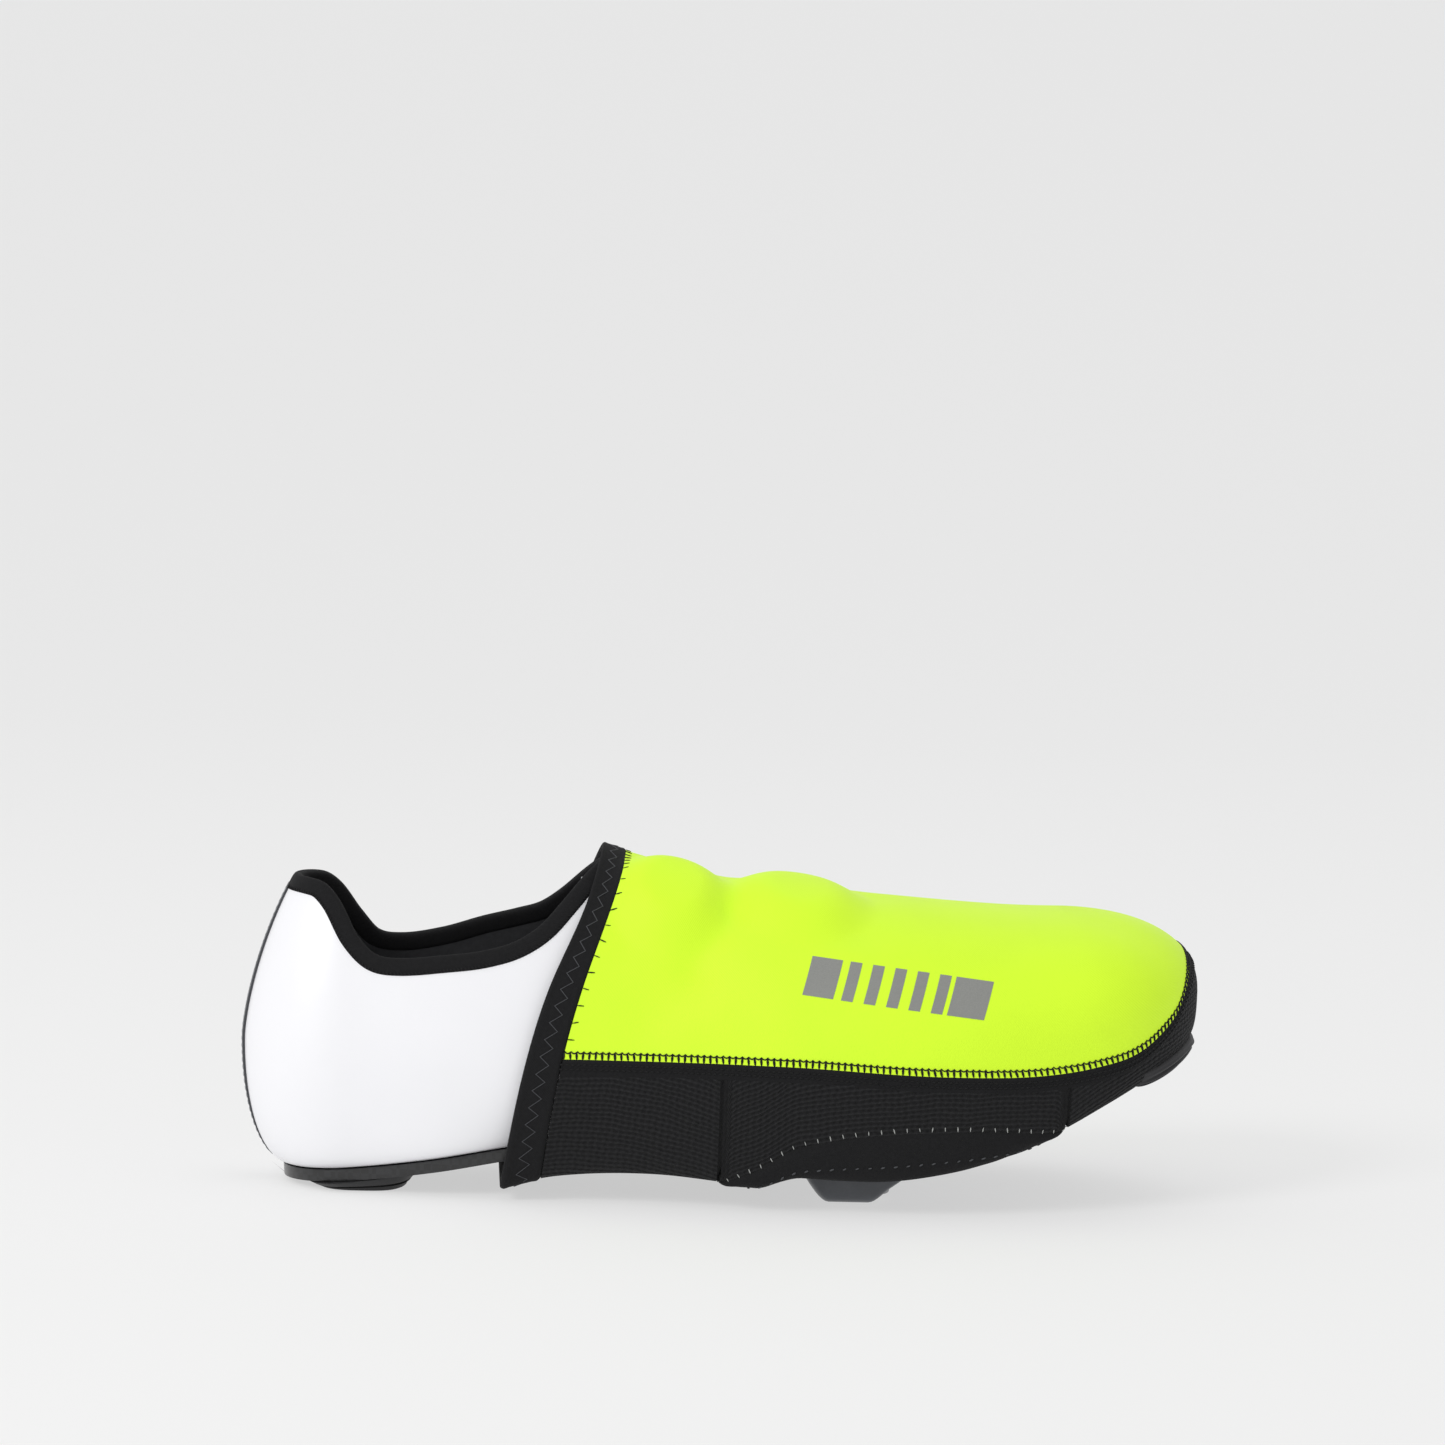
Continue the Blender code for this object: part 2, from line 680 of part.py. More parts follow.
def cleat_seat(x):
    return sole_bottom(x) - FIT_GAP


def cleat():
    """Three-bolt cleat: a wide heel that touches the ground and a narrow nose."""
    start = x_of(CLEAT_START_AT)
    rings = []
    for row in CLEAT:
        x = start + row.at * CLEAT_LENGTH
        half, under, over = row.half_width * CLEAT_WIDTH, row.under * INSTEP_HEIGHT, cleat_seat(x)
        chamfer = min(CLEAT_CHAMFER, (over - under) / 3)
        middle = (under + over) / 2
        left = [(-half, over), (-half, middle), (-half, under + chamfer), (-half + chamfer, under)]
        right = [(-y, z) for y, z in reversed(left)]
        rings.append([Vector((x, y, z)) for y, z in left + right])
    body = ring_solid("cleat", rings, GREY_NYLON)
    for name, point, turn in bolt_places():
        depth = CLEAT_LENGTH / 2
        cutter = cylinder(name + "_recess", BOLT_HEAD_RADIUS + BOLT_CLEARANCE, depth, point, turn, STEEL)
        cutter.location = point - turn @ Vector((0, 0, depth / 2 - BOLT_RECESS))
        bpy.data.collections["cycling_toe_cover"].objects.unlink(cutter)
        link(cutter, "cutters")
        cutter.hide_render = True
        cutter.display_type = "WIRE"
        cut = body.modifiers.new(name, "BOOLEAN")
        cut.operation = "DIFFERENCE"
        cut.solver = "EXACT"
        cut.object = cutter
    return body


def bolt_places():
    """Each bolt's name, its point on the cleat's underside and its turn square to the sole."""
    places = []
    for name, along, across in BOLTS:
        x = x_of(CLEAT_START_AT) + along * CLEAT_LENGTH
        rise = sole_bottom(x + BOLT_HEAD_RADIUS) - sole_bottom(x - BOLT_HEAD_RADIUS)
        slope = rise / (2 * BOLT_HEAD_RADIUS)
        turn = Matrix.Rotation(-math.atan(slope), 3, "Y")
        places.append((name, Vector((x, across * CLEAT_WIDTH, CLEAT_AT["under"](along))), turn))
    return places


def cylinder(name, radius, depth, centre, turn, finish):
    bpy.ops.mesh.primitive_cylinder_add(vertices=20, radius=radius, depth=depth, location=centre)
    obj = bpy.context.object
    obj.name = name
    obj.rotation_euler = turn.to_euler()
    obj.data.materials.append(new_material(finish))
    for collection in list(obj.users_collection):
        collection.objects.unlink(obj)
    link(obj, "cycling_toe_cover")
    return obj


def cleat_bolts():
    for name, point, turn in bolt_places():
        lift = turn @ Vector((0, 0, BOLT_RECESS - FIT_GAP - BOLT_HEAD_HEIGHT / 2))
        cylinder(name, BOLT_HEAD_RADIUS, BOLT_HEAD_HEIGHT, point + lift, turn, STEEL)


def closure_dials():
    """Two dials on the upper, seen only as bulges in the cover."""
    for dial in DIALS:
        point, step = dial_centre(dial), 0.02
        up = shoe_point(Column(dial.at, 0), LATERAL, dial.girth + step) - point
        along = shoe_point(Column(dial.at + step, 0), LATERAL, dial.girth) - point
        out = along.cross(up).normalized()
        turn = out.to_track_quat("Z", "X").to_matrix()
        centre = point + out * (FIT_GAP + DIAL_HEIGHT / 2)
        cylinder(dial.name, DIAL_RADIUS, DIAL_HEIGHT, centre, turn, BLACK_COMPOSITE)


# Turns round the cleat opening, and the least share of the length between a way and the toe's first one
OPENING_TURNS = (0, 12, 24, 38, 54, 72, 90, 108, 126, 142, 156, 168, 180)
OPENING_STEP = 0.008


def opening_shares():
    """Shares of the length along the cleat opening, closer together at its two ends."""
    middle, half = OPENING_CENTRE_AT, OPENING_HALF_LENGTH / SHOE_LENGTH
    return [middle - half * math.cos(math.radians(turn)) for turn in OPENING_TURNS]


def cover_way(column, side, girths):
    """Points of the cover along one way. Between the hem and the cleat opening the ways lean, as the hem
    does."""
    start, end = cover_start(), opening_shares()[0]
    lean = min(max((end - column.at) / (end - start), 0), 1)
    way = []
    for girth in girths:
        at = column.at
        if lean > 0:
            hem = hem_at(Column(THROAT_AT, 0), side, girth, "front") + SEAM_GAP / SHOE_LENGTH
            at += (hem - start) * lean
        way.append(cover_point(Column(at, column.fan), side, girth))
    return way


def cover_start():
    """Where the hem's front edge crosses the seam, as a share of the length."""
    return HEM_AT["front"](SEAM[0].height) / SHOE_LENGTH


def cover_columns():
    """Columns of the cover, from the hem to the tip of the toe."""
    start, opening = cover_start(), opening_shares()
    rear = between(start, opening[0], 3)[:-1]
    front = [at for at in opening if at < AXIS_FRONT_AT - OPENING_STEP]
    return side_columns(rear + front + [AXIS_FRONT_AT]) + fan_columns(1)


def cover_top_panel():
    """Yellow neoprene panel over the instep and toe, down to the seam."""
    ways = []
    for column, side in all_round(cover_columns()):
        low = seam_girth(column, side) + SEAM_GAP / GIRTH_REACH
        ways.append(cover_way(column, side, between(low, 1, 9)))
    return thicken(sheet("cover_top_panel", ways, YELLOW_NEOPRENE), COVER_WALL)


def cover_lower_panel():
    """Black knit panel from the seam down and under the sole, open for the cleat."""
    ways = []
    for column, side in all_round(cover_columns()):
        high = seam_girth(column, side) - SEAM_GAP / GIRTH_REACH
        low = opening_girth(column.at)
        if low > -1:
            turn = between(low, high, 9)
        else:
            turn = [low, (low - 1) / 2, -1, -0.84, -0.6, -0.35] + between(-0.35, high, 4)[1:]
        ways.append(cover_way(column, side, turn))
    return thicken(sheet("cover_lower_panel", ways, BLACK_KNIT), COVER_WALL)


def cover_rear_hem():
    """Black band round the rear edge of the cover, over the instep and under the sole."""
    girths = [-2, -1.4, -1, -0.86, -0.66, -0.4, -0.1] + between(0.08, 1, 11)
    rounds = [(g, LATERAL) for g in girths] + [(g, MEDIAL) for g in reversed(girths[1:-1])]
    grow = COVER_GAP + HEM_THICKNESS
    ways = []
    for girth, side in rounds:
        front = hem_at(Column(THROAT_AT, 0), side, girth, "front", grow)
        rear = hem_at(Column(THROAT_AT, 0), side, girth, "rear", grow)
        way = []
        for at in between(front, rear, 3):
            way.append(cover_point(Column(at, 0), side, girth, grow))
        ways.append(way)
    return thicken(sheet("cover_rear_hem", ways, BLACK_TAPE, closed=True), HEM_THICKNESS)


def cleat_opening_binding():
    """Black band that edges the cleat opening."""
    grow = COVER_GAP + BAND_THICKNESS
    half = OPENING_HALF_LENGTH / SHOE_LENGTH
    inner_half = (OPENING_HALF_LENGTH - BAND_WIDTH) / SHOE_LENGTH
    rounds = [(a, LATERAL) for a in OPENING_TURNS] + [(a, MEDIAL) for a in reversed(OPENING_TURNS[1:-1])]
    ways = []
    for angle, side in rounds:
        rise = math.sin(math.radians(angle)) ** OPENING_SQUARENESS
        along = math.cos(math.radians(angle))
        outer = (OPENING_CENTRE_AT - half * along, -2 + OPENING_RISE * rise)
        inner = (OPENING_CENTRE_AT - inner_half * along, -2 + OPENING_EDGE_RISE * rise)
        shift = SEAM_GAP / SHOE_LENGTH
        way = []
        for s in between(BAND_START, 1, 4):
            at, girth = (o + (i - o) * s for o, i in zip(outer, inner))
            at += shift * along
            way.append(cover_point(Column(at, 0), side, girth, grow))
        ways.append(way)
    return thicken(sheet("cleat_opening_binding", ways, BLACK_TAPE, closed=True), BAND_THICKNESS)


def toe_bumper():
    """Ribbed rubber bumper under the toe, outside the knit."""
    base = COVER_GAP + COVER_WALL + FIT_GAP
    edges = sorted({e for rib in BUMPER_RIBS for e in (rib.start, rib.end)} | set(BUMPER_SPAN))
    levels = []
    for low, high in zip(edges, edges[1:]):
        proud = sum(rib.proud for rib in BUMPER_RIBS if rib.start <= low and high <= rib.end)
        thick = BUMPER_THICKNESS + BUMPER_RIB * proud
        levels += [(low + BUMPER_FLANK, thick), (high - BUMPER_FLANK, thick)]
    fans = [c.fan for c in fan_columns(1) if c.fan >= 90 - BUMPER_SWEEP]
    rounds = [(f, LATERAL) for f in fans] + [(f, MEDIAL) for f in reversed(fans[:-1])]
    rings = []
    for fan, side in rounds:
        column = Column(AXIS_FRONT_AT, fan)
        fade = min((fan - 90 + BUMPER_SWEEP) / BUMPER_FADE, 1)
        skin = [cover_point(column, side, -g, base) for g, _ in levels]
        tread = []
        for g, thick in levels:
            out = base + BUMPER_EDGE + (thick - BUMPER_EDGE) * fade
            tread.append(cover_point(column, side, -g, out))
        rings.append(skin + list(reversed(tread)))
    return ring_solid("toe_bumper", [list(reversed(ring)) for ring in rings], BLACK_RUBBER)


def centre_on_ground():
    """Slide everything so that the middle of the part's box is over the origin."""
    depsgraph = bpy.context.evaluated_depsgraph_get()
    corners = []
    for obj in bpy.data.collections["cycling_toe_cover"].objects:
        mesh = obj.evaluated_get(depsgraph).to_mesh()
        corners += [obj.matrix_world @ v.co for v in mesh.vertices]
    middle = [(min(c[i] for c in corners) + max(c[i] for c in corners)) / 2 for i in (0, 1)]
    for name in ("cycling_toe_cover", "cutters"):
        for obj in bpy.data.collections[name].objects:
            obj.location.x -= middle[0]
            obj.location.y -= middle[1]
    bpy.context.view_layer.update()


def clear_scene():
    for obj in list(bpy.data.objects):
        bpy.data.objects.remove(obj)


def build():
    clear_scene()
    sole_plate()
    shoe_upper()
    tongue()
    insole()
    collar_binding()
    heel_strip()
    heel_pad()
    cleat()
    cleat_bolts()
    closure_dials()
    cover_top_panel()
    cover_lower_panel()
    cover_rear_hem()
    cleat_opening_binding()
    toe_bumper()
    centre_on_ground()


build()
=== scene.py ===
"""Looks of a cycling toe cover worn on a road cycling shoe: panels, seams, stitches, tapes and finishes.

The last, the seam, the hem and the cleat opening follow the same sections as the solids. Each piece starts
as a Blender primitive, is moved to its place on the last, and is finished with modifiers.
"""

import math
import random
from collections import namedtuple

import bpy
import numpy as np
from bpy.props import FloatProperty, FloatVectorProperty, PointerProperty
from mathutils import Matrix, Vector


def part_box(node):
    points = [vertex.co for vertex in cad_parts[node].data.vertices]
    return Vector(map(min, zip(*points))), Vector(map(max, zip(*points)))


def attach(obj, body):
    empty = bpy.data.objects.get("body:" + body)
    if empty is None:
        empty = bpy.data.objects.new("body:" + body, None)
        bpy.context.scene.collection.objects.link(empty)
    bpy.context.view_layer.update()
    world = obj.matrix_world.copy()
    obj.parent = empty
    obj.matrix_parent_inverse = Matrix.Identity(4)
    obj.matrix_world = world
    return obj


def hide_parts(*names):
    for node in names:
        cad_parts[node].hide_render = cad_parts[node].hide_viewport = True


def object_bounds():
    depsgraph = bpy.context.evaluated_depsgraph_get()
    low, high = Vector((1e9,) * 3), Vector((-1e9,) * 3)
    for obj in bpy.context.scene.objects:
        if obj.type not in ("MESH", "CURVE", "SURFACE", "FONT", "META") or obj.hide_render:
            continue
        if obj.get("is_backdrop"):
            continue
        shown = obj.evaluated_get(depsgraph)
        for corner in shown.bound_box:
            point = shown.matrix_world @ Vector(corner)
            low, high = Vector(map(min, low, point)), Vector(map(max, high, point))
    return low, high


bl_info = {
    "name": "Cycling toe cover",
    "version": (1, 0),
    "blender": (4, 5, 0),
    "location": "View3D > Sidebar > Toe Cover",
    "description": "Models and finishes a cycling toe cover worn on a road shoe",
    "category": "Object",
}

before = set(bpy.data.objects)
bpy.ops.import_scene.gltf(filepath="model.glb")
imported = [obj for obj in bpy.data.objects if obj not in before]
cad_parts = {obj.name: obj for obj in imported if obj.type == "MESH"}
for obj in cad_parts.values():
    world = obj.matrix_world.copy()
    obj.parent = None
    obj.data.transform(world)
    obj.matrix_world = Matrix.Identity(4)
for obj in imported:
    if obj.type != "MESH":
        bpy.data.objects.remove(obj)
CAD_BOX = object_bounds()
SHOE_LOW, SHOE_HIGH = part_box("shoe_upper")
PAD_LOW, PAD_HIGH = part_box("heel_pad")

# Sizes of the last, in metres, as in the solids
SHOE_LENGTH = SHOE_HIGH.x - SHOE_LOW.x
HEEL_X = SHOE_LOW.x
MIDDLE_Y = (PAD_LOW.y + PAD_HIGH.y) / 2
BALL_WIDTH = 0.098
INSTEP_HEIGHT = 0.100
HEEL_REACH = 0.031
TOE_REACH = 0.040
UPPER_WALL = 0.0024
SOLE_THICKNESS = 0.0036
SOLE_MARGIN = 0.0015
INSOLE_THICKNESS = 0.0030
INSOLE_INSET = 0.0028
FIT_GAP = 0.0003
THROAT_AT = 0.388
COVER_WALL = 0.0025
COVER_GAP = 0.0008
COVER_TUCK = 0.0060
COVER_SKIN = COVER_GAP + COVER_WALL
OPENING_CENTRE_AT = 0.674
OPENING_HALF_LENGTH = 0.0520
OPENING_RISE = 1.64
OPENING_EDGE_RISE = 0.97
OPENING_SQUARENESS = 0.45
BAND_WIDTH = 0.0105
PLAN_ROUNDNESS = 2.15
UNDER_ROUNDNESS = 3.0
AXIS_REAR_AT = HEEL_REACH / SHOE_LENGTH
AXIS_FRONT_AT = 1 - TOE_REACH / SHOE_LENGTH
LATERAL = -1
MEDIAL = 1
MM = 0.001

# The last, heel to toe, in shares of the length, the ball width and the instep height
Section = namedtuple("Section", "at lateral medial axis feather widest ridge crown tuck")
LAST = [
    Section(0.00, 0.300, 0.290, 0.000, 0.045, 0.44, 1.10, 1.50, 0.143),
    Section(0.11, 0.318, 0.306, 0.000, 0.072, 0.42, 1.12, 1.50, 0.095),
    Section(0.20, 0.342, 0.337, 0.000, 0.112, 0.40, 1.14, 1.55, 0.066),
    Section(0.29, 0.354, 0.347, 0.002, 0.162, 0.40, 1.09, 1.62, 0.062),
    Section(0.38, 0.378, 0.347, 0.006, 0.195, 0.40, 1.006, 1.70, 0.061),
    Section(0.47, 0.424, 0.354, 0.010, 0.207, 0.40, 0.940, 1.85, 0.061),
    Section(0.56, 0.482, 0.381, 0.014, 0.202, 0.40, 0.910, 2.00, 0.061),
    Section(0.65, 0.518, 0.424, 0.020, 0.195, 0.41, 0.881, 2.10, 0.062),
    Section(0.74, 0.520, 0.460, 0.028, 0.228, 0.44, 0.859, 2.20, 0.066),
    Section(0.82, 0.500, 0.466, 0.040, 0.300, 0.50, 0.845, 2.35, 0.071),
    Section(0.90, 0.472, 0.445, 0.056, 0.418, 0.57, 0.842, 2.50, 0.082),
    Section(1.00, 0.440, 0.410, 0.072, 0.560, 0.63, 0.842, 2.60, 0.100),
]

# Top line of the upper on its two sides
Collar = namedtuple("Collar", "at lateral medial")
COLLAR = [
    Collar(0.030, 0.905, 0.905),
    Collar(0.071, 0.898, 0.898),
    Collar(0.087, 0.860, 0.868),
    Collar(0.108, 0.758, 0.785),
    Collar(0.130, 0.697, 0.712),
    Collar(0.160, 0.681, 0.694),
    Collar(0.208, 0.694, 0.715),
    Collar(0.253, 0.713, 0.756),
    Collar(0.288, 0.746, 0.784),
    Collar(0.316, 0.800, 0.812),
    Collar(0.339, 0.872, 0.862),
    Collar(0.365, 0.955, 0.940),
    Collar(0.388, 1.010, 1.010),
]

# Seam between the yellow panel and the knit panel
Seam = namedtuple("Seam", "at height")
SEAM = [
    Seam(0.30, 0.440),
    Seam(0.38, 0.443),
    Seam(0.56, 0.450),
    Seam(0.74, 0.434),
    Seam(0.82, 0.438),
    Seam(0.88, 0.462),
    Seam(0.93, 0.503),
    Seam(0.96, 0.565),
    Seam(0.975, 0.612),
    Seam(0.99, 0.705),
    Seam(1.00, 0.790),
    Seam(1.014, 0.950),
]

# The two edges of the rear hem, by height
Hem = namedtuple("Hem", "height front rear")
HEM = [
    Hem(0.00, 0.311, 0.2695),
    Hem(0.10, 0.314, 0.2740),
    Hem(0.44, 0.332, 0.2950),
    Hem(0.64, 0.350, 0.3150),
    Hem(0.90, 0.382, 0.3540),
    Hem(1.06, 0.400, 0.3720),
]

# How far the cover's underside hangs below the sole
Hang = namedtuple("Hang", "at drop")
HANG = [
    Hang(0.26, 0.046),
    Hang(0.33, 0.026),
    Hang(0.43, 0.034),
    Hang(0.50, 0.048),
    Hang(0.53, 0.050),
    Hang(0.58, 0.008),
    Hang(0.80, 0.002),
    Hang(1.00, 0.000),
]

# Bulges over the two closure dials, in shares of the dial's height and radius
DIAL_RADIUS = 0.0085
DIAL_HEIGHT = 0.0032
Dial = namedtuple("Dial", "at girth lift core skirt")
DIALS = [
    Dial(0.444, 0.70, 1.78, 1.00, 2.65),
    Dial(0.576, 0.82, 1.28, 1.05, 3.00),
]

# Creases on the yellow panel's lateral side, in the shoe's own shares. A trough has a
# negative depth and a ridge a positive one. Depth and width are in millimetres.
Crease = namedtuple("Crease", "at girth at_end girth_end depth width")
CREASES = [
    Crease(0.505, 1.00, 0.500, 0.66, -1.6, 6.5),
    Crease(0.500, 0.66, 0.470, 0.40, -1.7, 7.0),
    Crease(0.470, 0.40, 0.425, 0.22, -1.0, 9.0),
    Crease(0.655, 0.94, 0.640, 0.62, -1.2, 8.5),
    Crease(0.520, 0.50, 0.560, 0.34, 0.5, 10.0),
    Crease(0.402, 0.90, 0.395, 0.45, -0.5, 5.0),
    Crease(0.915, 0.72, 0.960, 0.50, -0.5, 9.0),
    Crease(0.880, 0.98, 0.930, 0.86, 0.5, 12.0),
]

# The cleat, heel to nose
CLEAT_LENGTH = 0.0660
CLEAT_WIDTH = 0.0620
CLEAT_START_AT = 0.583
CleatSection = namedtuple("CleatSection", "at half_width under")
CLEAT = [
    CleatSection(0.00, 0.36, 0.118),
    CleatSection(0.05, 0.44, 0.055),
    CleatSection(0.14, 0.50, 0.000),
    CleatSection(0.32, 0.50, 0.000),
    CleatSection(0.42, 0.48, 0.045),
    CleatSection(0.54, 0.43, 0.095),
    CleatSection(0.65, 0.37, 0.118),
    CleatSection(0.76, 0.30, 0.122),
    CleatSection(0.84, 0.26, 0.116),
    CleatSection(0.93, 0.24, 0.140),
    CleatSection(1.00, 0.22, 0.178),
]
BOLTS = [
    ("cleat_bolt_lateral", 0.36, -0.27),
    ("cleat_bolt_medial", 0.36, 0.27),
    ("cleat_bolt_front", 0.74, 0.0),
]

# Ribs of the toe bumper, from the cover's front wall to its underside
Rib = namedtuple("Rib", "start end proud")
BUMPER_RIBS = [
    Rib(0.62, 0.70, 0.40),
    Rib(0.78, 0.86, 0.75),
    Rib(0.94, 1.02, 1.00),
    Rib(1.10, 1.42, 1.00),
    Rib(1.52, 1.62, 1.00),
]
BUMPER_SPAN = (0.56, 1.68)
BUMPER_THICKNESS = 0.0012
BUMPER_RIB = 0.0018
BUMPER_EDGE = 0.0008
BUMPER_SWEEP = 60.0
BUMPER_FADE = 30.0
RIB_FLANK = 0.008
BUMPER_ROUND = 0.05

# Trims, as in the solids
BINDING_HEIGHT = 0.0034
BINDING_PROUD = 0.0004
BINDING_LAP = 0.0022
COLLAR_STEPS = 260
TONGUE_FRONT_AT = 0.56
TONGUE_REAR_AT = 0.350
TONGUE_EDGE = 0.60
TONGUE_THICKNESS = 0.0018
TONGUE_GAP = 0.0022
TONGUE_TILT = 0.12
HEEL_STRIP_WIDTH = 0.0120
HEEL_STRIP_THICKNESS = 0.0007
HEEL_PAD_LENGTH = 0.0345
HEEL_PAD_WIDTH = 0.0500
HEEL_PAD_START = 0.0195
HEEL_PAD_DRAFT = 0.0032
HEEL_PAD_EDGE = 0.0012
HEEL_PAD_SQUARENESS = 0.62
SOLE_EDGE = 0.0008
INSOLE_DISH = 0.0012
HEM_THICKNESS = 0.0032
HEM_ROLL = 0.18
BAND_THICKNESS = 0.0029
BAND_PROUD = 0.0037
BAND_LAP = -0.16
BAND_ROLL = 0.22
SEAM_TAPE_WIDTH = 0.0046
SEAM_TAPE_PROUD = 0.00022
SEAM_ROWS = (0.0016, 0.0030)

# Bolts of the cleat: places in shares of its length and width
BOLT_HEAD_RADIUS = 0.0048
BOLT_HEAD_HEIGHT = 0.0030
BOLT_SOCKET_RADIUS = 0.0024
BOLT_CLEARANCE = 0.0005
BOLT_RECESS = 0.0040

# Reflective marks on the yellow panel, in millimetres from a point on a line that falls towards the toe.
# slant leans a mark forwards, as a share of its height.
Mark = namedtuple("Mark", "x z width height slant")
PRINT_START_X = 0.167
PRINT_START_Z = 0.0712
PRINT_TILT = 6.0
PRINT_PROUD = 0.0001
PRINT_MARKS = [
    Mark(4.5, 0.0, 9.0, 11.0, 0.30),
    *(Mark(13.0 + 6.6 * k, 0.0, 3.4, 11.0, 0.30) for k in range(5)),
    Mark(48.0, 0.0, 11.0, 11.0, 0.30),
]


def smooth_curve(places, values, steps=1600):
    """A curve through a table's rows that rises and falls only where the rows do, read from fine steps."""
    places, values = np.array(places, float), np.array(values, float)
    gaps, slopes = np.diff(places), np.diff(values) / np.diff(places)
    tangents = np.concatenate([[slopes[0]], (slopes[:-1] + slopes[1:]) / 2, [slopes[-1]]])
    for i, slope in enumerate(slopes):
        if slope == 0:
            tangents[i] = tangents[i + 1] = 0
            continue
        a, b = tangents[i] / slope, tangents[i + 1] / slope
        if min(a, b) < 0:
            tangents[i if a < 0 else i + 1] = 0
        elif math.hypot(a, b) > 3:
            tangents[i], tangents[i + 1] = (3 * slope * k / math.hypot(a, b) for k in (a, b))
    x = np.linspace(places[0], places[-1], steps + 1)
    i = np.clip(np.searchsorted(places, x, "right") - 1, 0, len(gaps) - 1)
    s, h = (x - places[i]) / gaps[i], gaps[i]
    levels = (
        values[i] * (1 + 2 * s) * (1 - s) ** 2
        + tangents[i] * h * s * (1 - s) ** 2
        + values[i + 1] * s * s * (3 - 2 * s)
        + tangents[i + 1] * h * s * s * (s - 1)
    ).tolist()
    low, span = float(places[0]), float(places[-1] - places[0])

    def at(place):
        far = min(max((place - low) / span, 0.0), 1.0) * steps
        k = min(int(far), steps - 1)
        return levels[k] + (levels[k + 1] - levels[k]) * (far - k)

    return at


def columns_of(rows, unit_of):
    first, *others = rows[0]._fields
    places = [getattr(r, first) for r in rows]
    return {n: smooth_curve(places, [getattr(r, n) * unit_of.get(n, 1) for r in rows]) for n in others}


LAST_AT = columns_of(
    LAST,
    {n: BALL_WIDTH for n in ("lateral", "medial", "axis", "tuck")}
    | {n: INSTEP_HEIGHT for n in ("feather", "widest", "ridge")},
)
COLLAR_AT = columns_of(COLLAR, {"lateral": INSTEP_HEIGHT, "medial": INSTEP_HEIGHT})
SEAM_AT = columns_of(SEAM, {"height": INSTEP_HEIGHT})
HEM_AT = columns_of(HEM, {"front": SHOE_LENGTH, "rear": SHOE_LENGTH})
HANG_AT = columns_of(HANG, {"drop": INSTEP_HEIGHT})
CLEAT_AT = columns_of(CLEAT, {"half_width": CLEAT_WIDTH, "under": INSTEP_HEIGHT})
COVER_START_AT = HEM_AT["front"](SEAM[0].height) / SHOE_LENGTH
OPENING_START_AT = OPENING_CENTRE_AT - OPENING_HALF_LENGTH / SHOE_LENGTH

Column = namedtuple("Column", "at fan")


def x_of(at):
    return HEEL_X + at * SHOE_LENGTH


def share_of(x):
    return (x - HEEL_X) / SHOE_LENGTH


def side_name(side):
    return "lateral" if side == LATERAL else "medial"


def outline(column, side, grow):
    """Axis point and widest point of a column in plan, for a last grown outwards by grow."""
    along, across = (abs(f(math.radians(column.fan))) ** (2 / PLAN_ROUNDNESS) for f in (math.sin, math.cos))
    reach = (TOE_REACH if column.fan > 0 else -HEEL_REACH) + math.copysign(grow, column.fan)
    x = x_of(column.at) + reach * along
    half = (LAST_AT[side_name(side)](share_of(x)) + grow) * across
    axis = Vector((x_of(column.at), MIDDLE_Y + LAST_AT["axis"](column.at), 0))
    return axis, Vector((x, MIDDLE_Y + LAST_AT["axis"](share_of(x)) + side * half, 0))


def crown_point(column, side, girth, grow):
    """A point above the widest level. girth is 0 at the widest level and 1 on the ridge."""
    axis, wide = outline(column, side, grow)
    power = 2 / LAST_AT["crown"](column.at)
    angle = math.radians(90 * girth)
    low = LAST_AT["widest"](share_of(wide.x))
    top = LAST_AT["ridge"](column.at) + grow
    point = axis.lerp(wide, max(math.cos(angle), 0) ** power)
    point.z = low + (top - low) * max(math.sin(angle), 0) ** power
    return point


def shoe_point(column, side, girth, grow=0.0):
    """A point of the upper. girth is 1 on the ridge, 0 at the widest level and -1 on the feather edge."""
    if girth >= 0:
        return crown_point(column, side, girth, grow)
    axis, wide = outline(column, side, grow)
    angle = math.radians(-90 * girth)
    at = share_of(wide.x)
    tuck = LAST_AT["tuck"](at) + grow
    point = wide + (axis - wide).normalized() * tuck * (1 - math.cos(angle))
    low, foot = LAST_AT["widest"](at), LAST_AT["feather"](share_of(point.x))
    point.z = low - (low - foot) * math.sin(angle)
    return point


def sole_bottom(x):
    return LAST_AT["feather"](share_of(x)) - FIT_GAP - SOLE_THICKNESS


def fold_ends():
    """The two ends of each crease on the last, with its depth and width in metres."""
    for c in CREASES:
        start = shoe_point(Column(c.at, 0), LATERAL, c.girth)
        end = shoe_point(Column(c.at_end, 0), LATERAL, c.girth_end)
        yield start, end - start, c.depth * MM, c.width * MM


FOLDS = list(fold_ends())
DIAL_CENTRES = [(shoe_point(Column(d.at, 0), LATERAL, d.girth), d) for d in DIALS]


def bulge(point):
    """How far the dials push the cover out at a point."""
    out = 0.0
    for centre, dial in DIAL_CENTRES:
        far = (point - centre).length / DIAL_RADIUS
        far = min(max((far - dial.core) / (dial.skirt - dial.core), 0), 1)
        out += dial.lift * DIAL_HEIGHT * (1 - far * far * (3 - 2 * far))
    return out


def fold(point):
    """Height of the soft creases at a point of the yellow panel."""
    out = 0.0
    for start, run, depth, width in FOLDS:
        along = min(max((point - start).dot(run) / run.length_squared, 0), 1)
        far = (point - start - run * along).length / width
        if far < 2.5:
            out += depth * math.exp(-far * far)
    return out


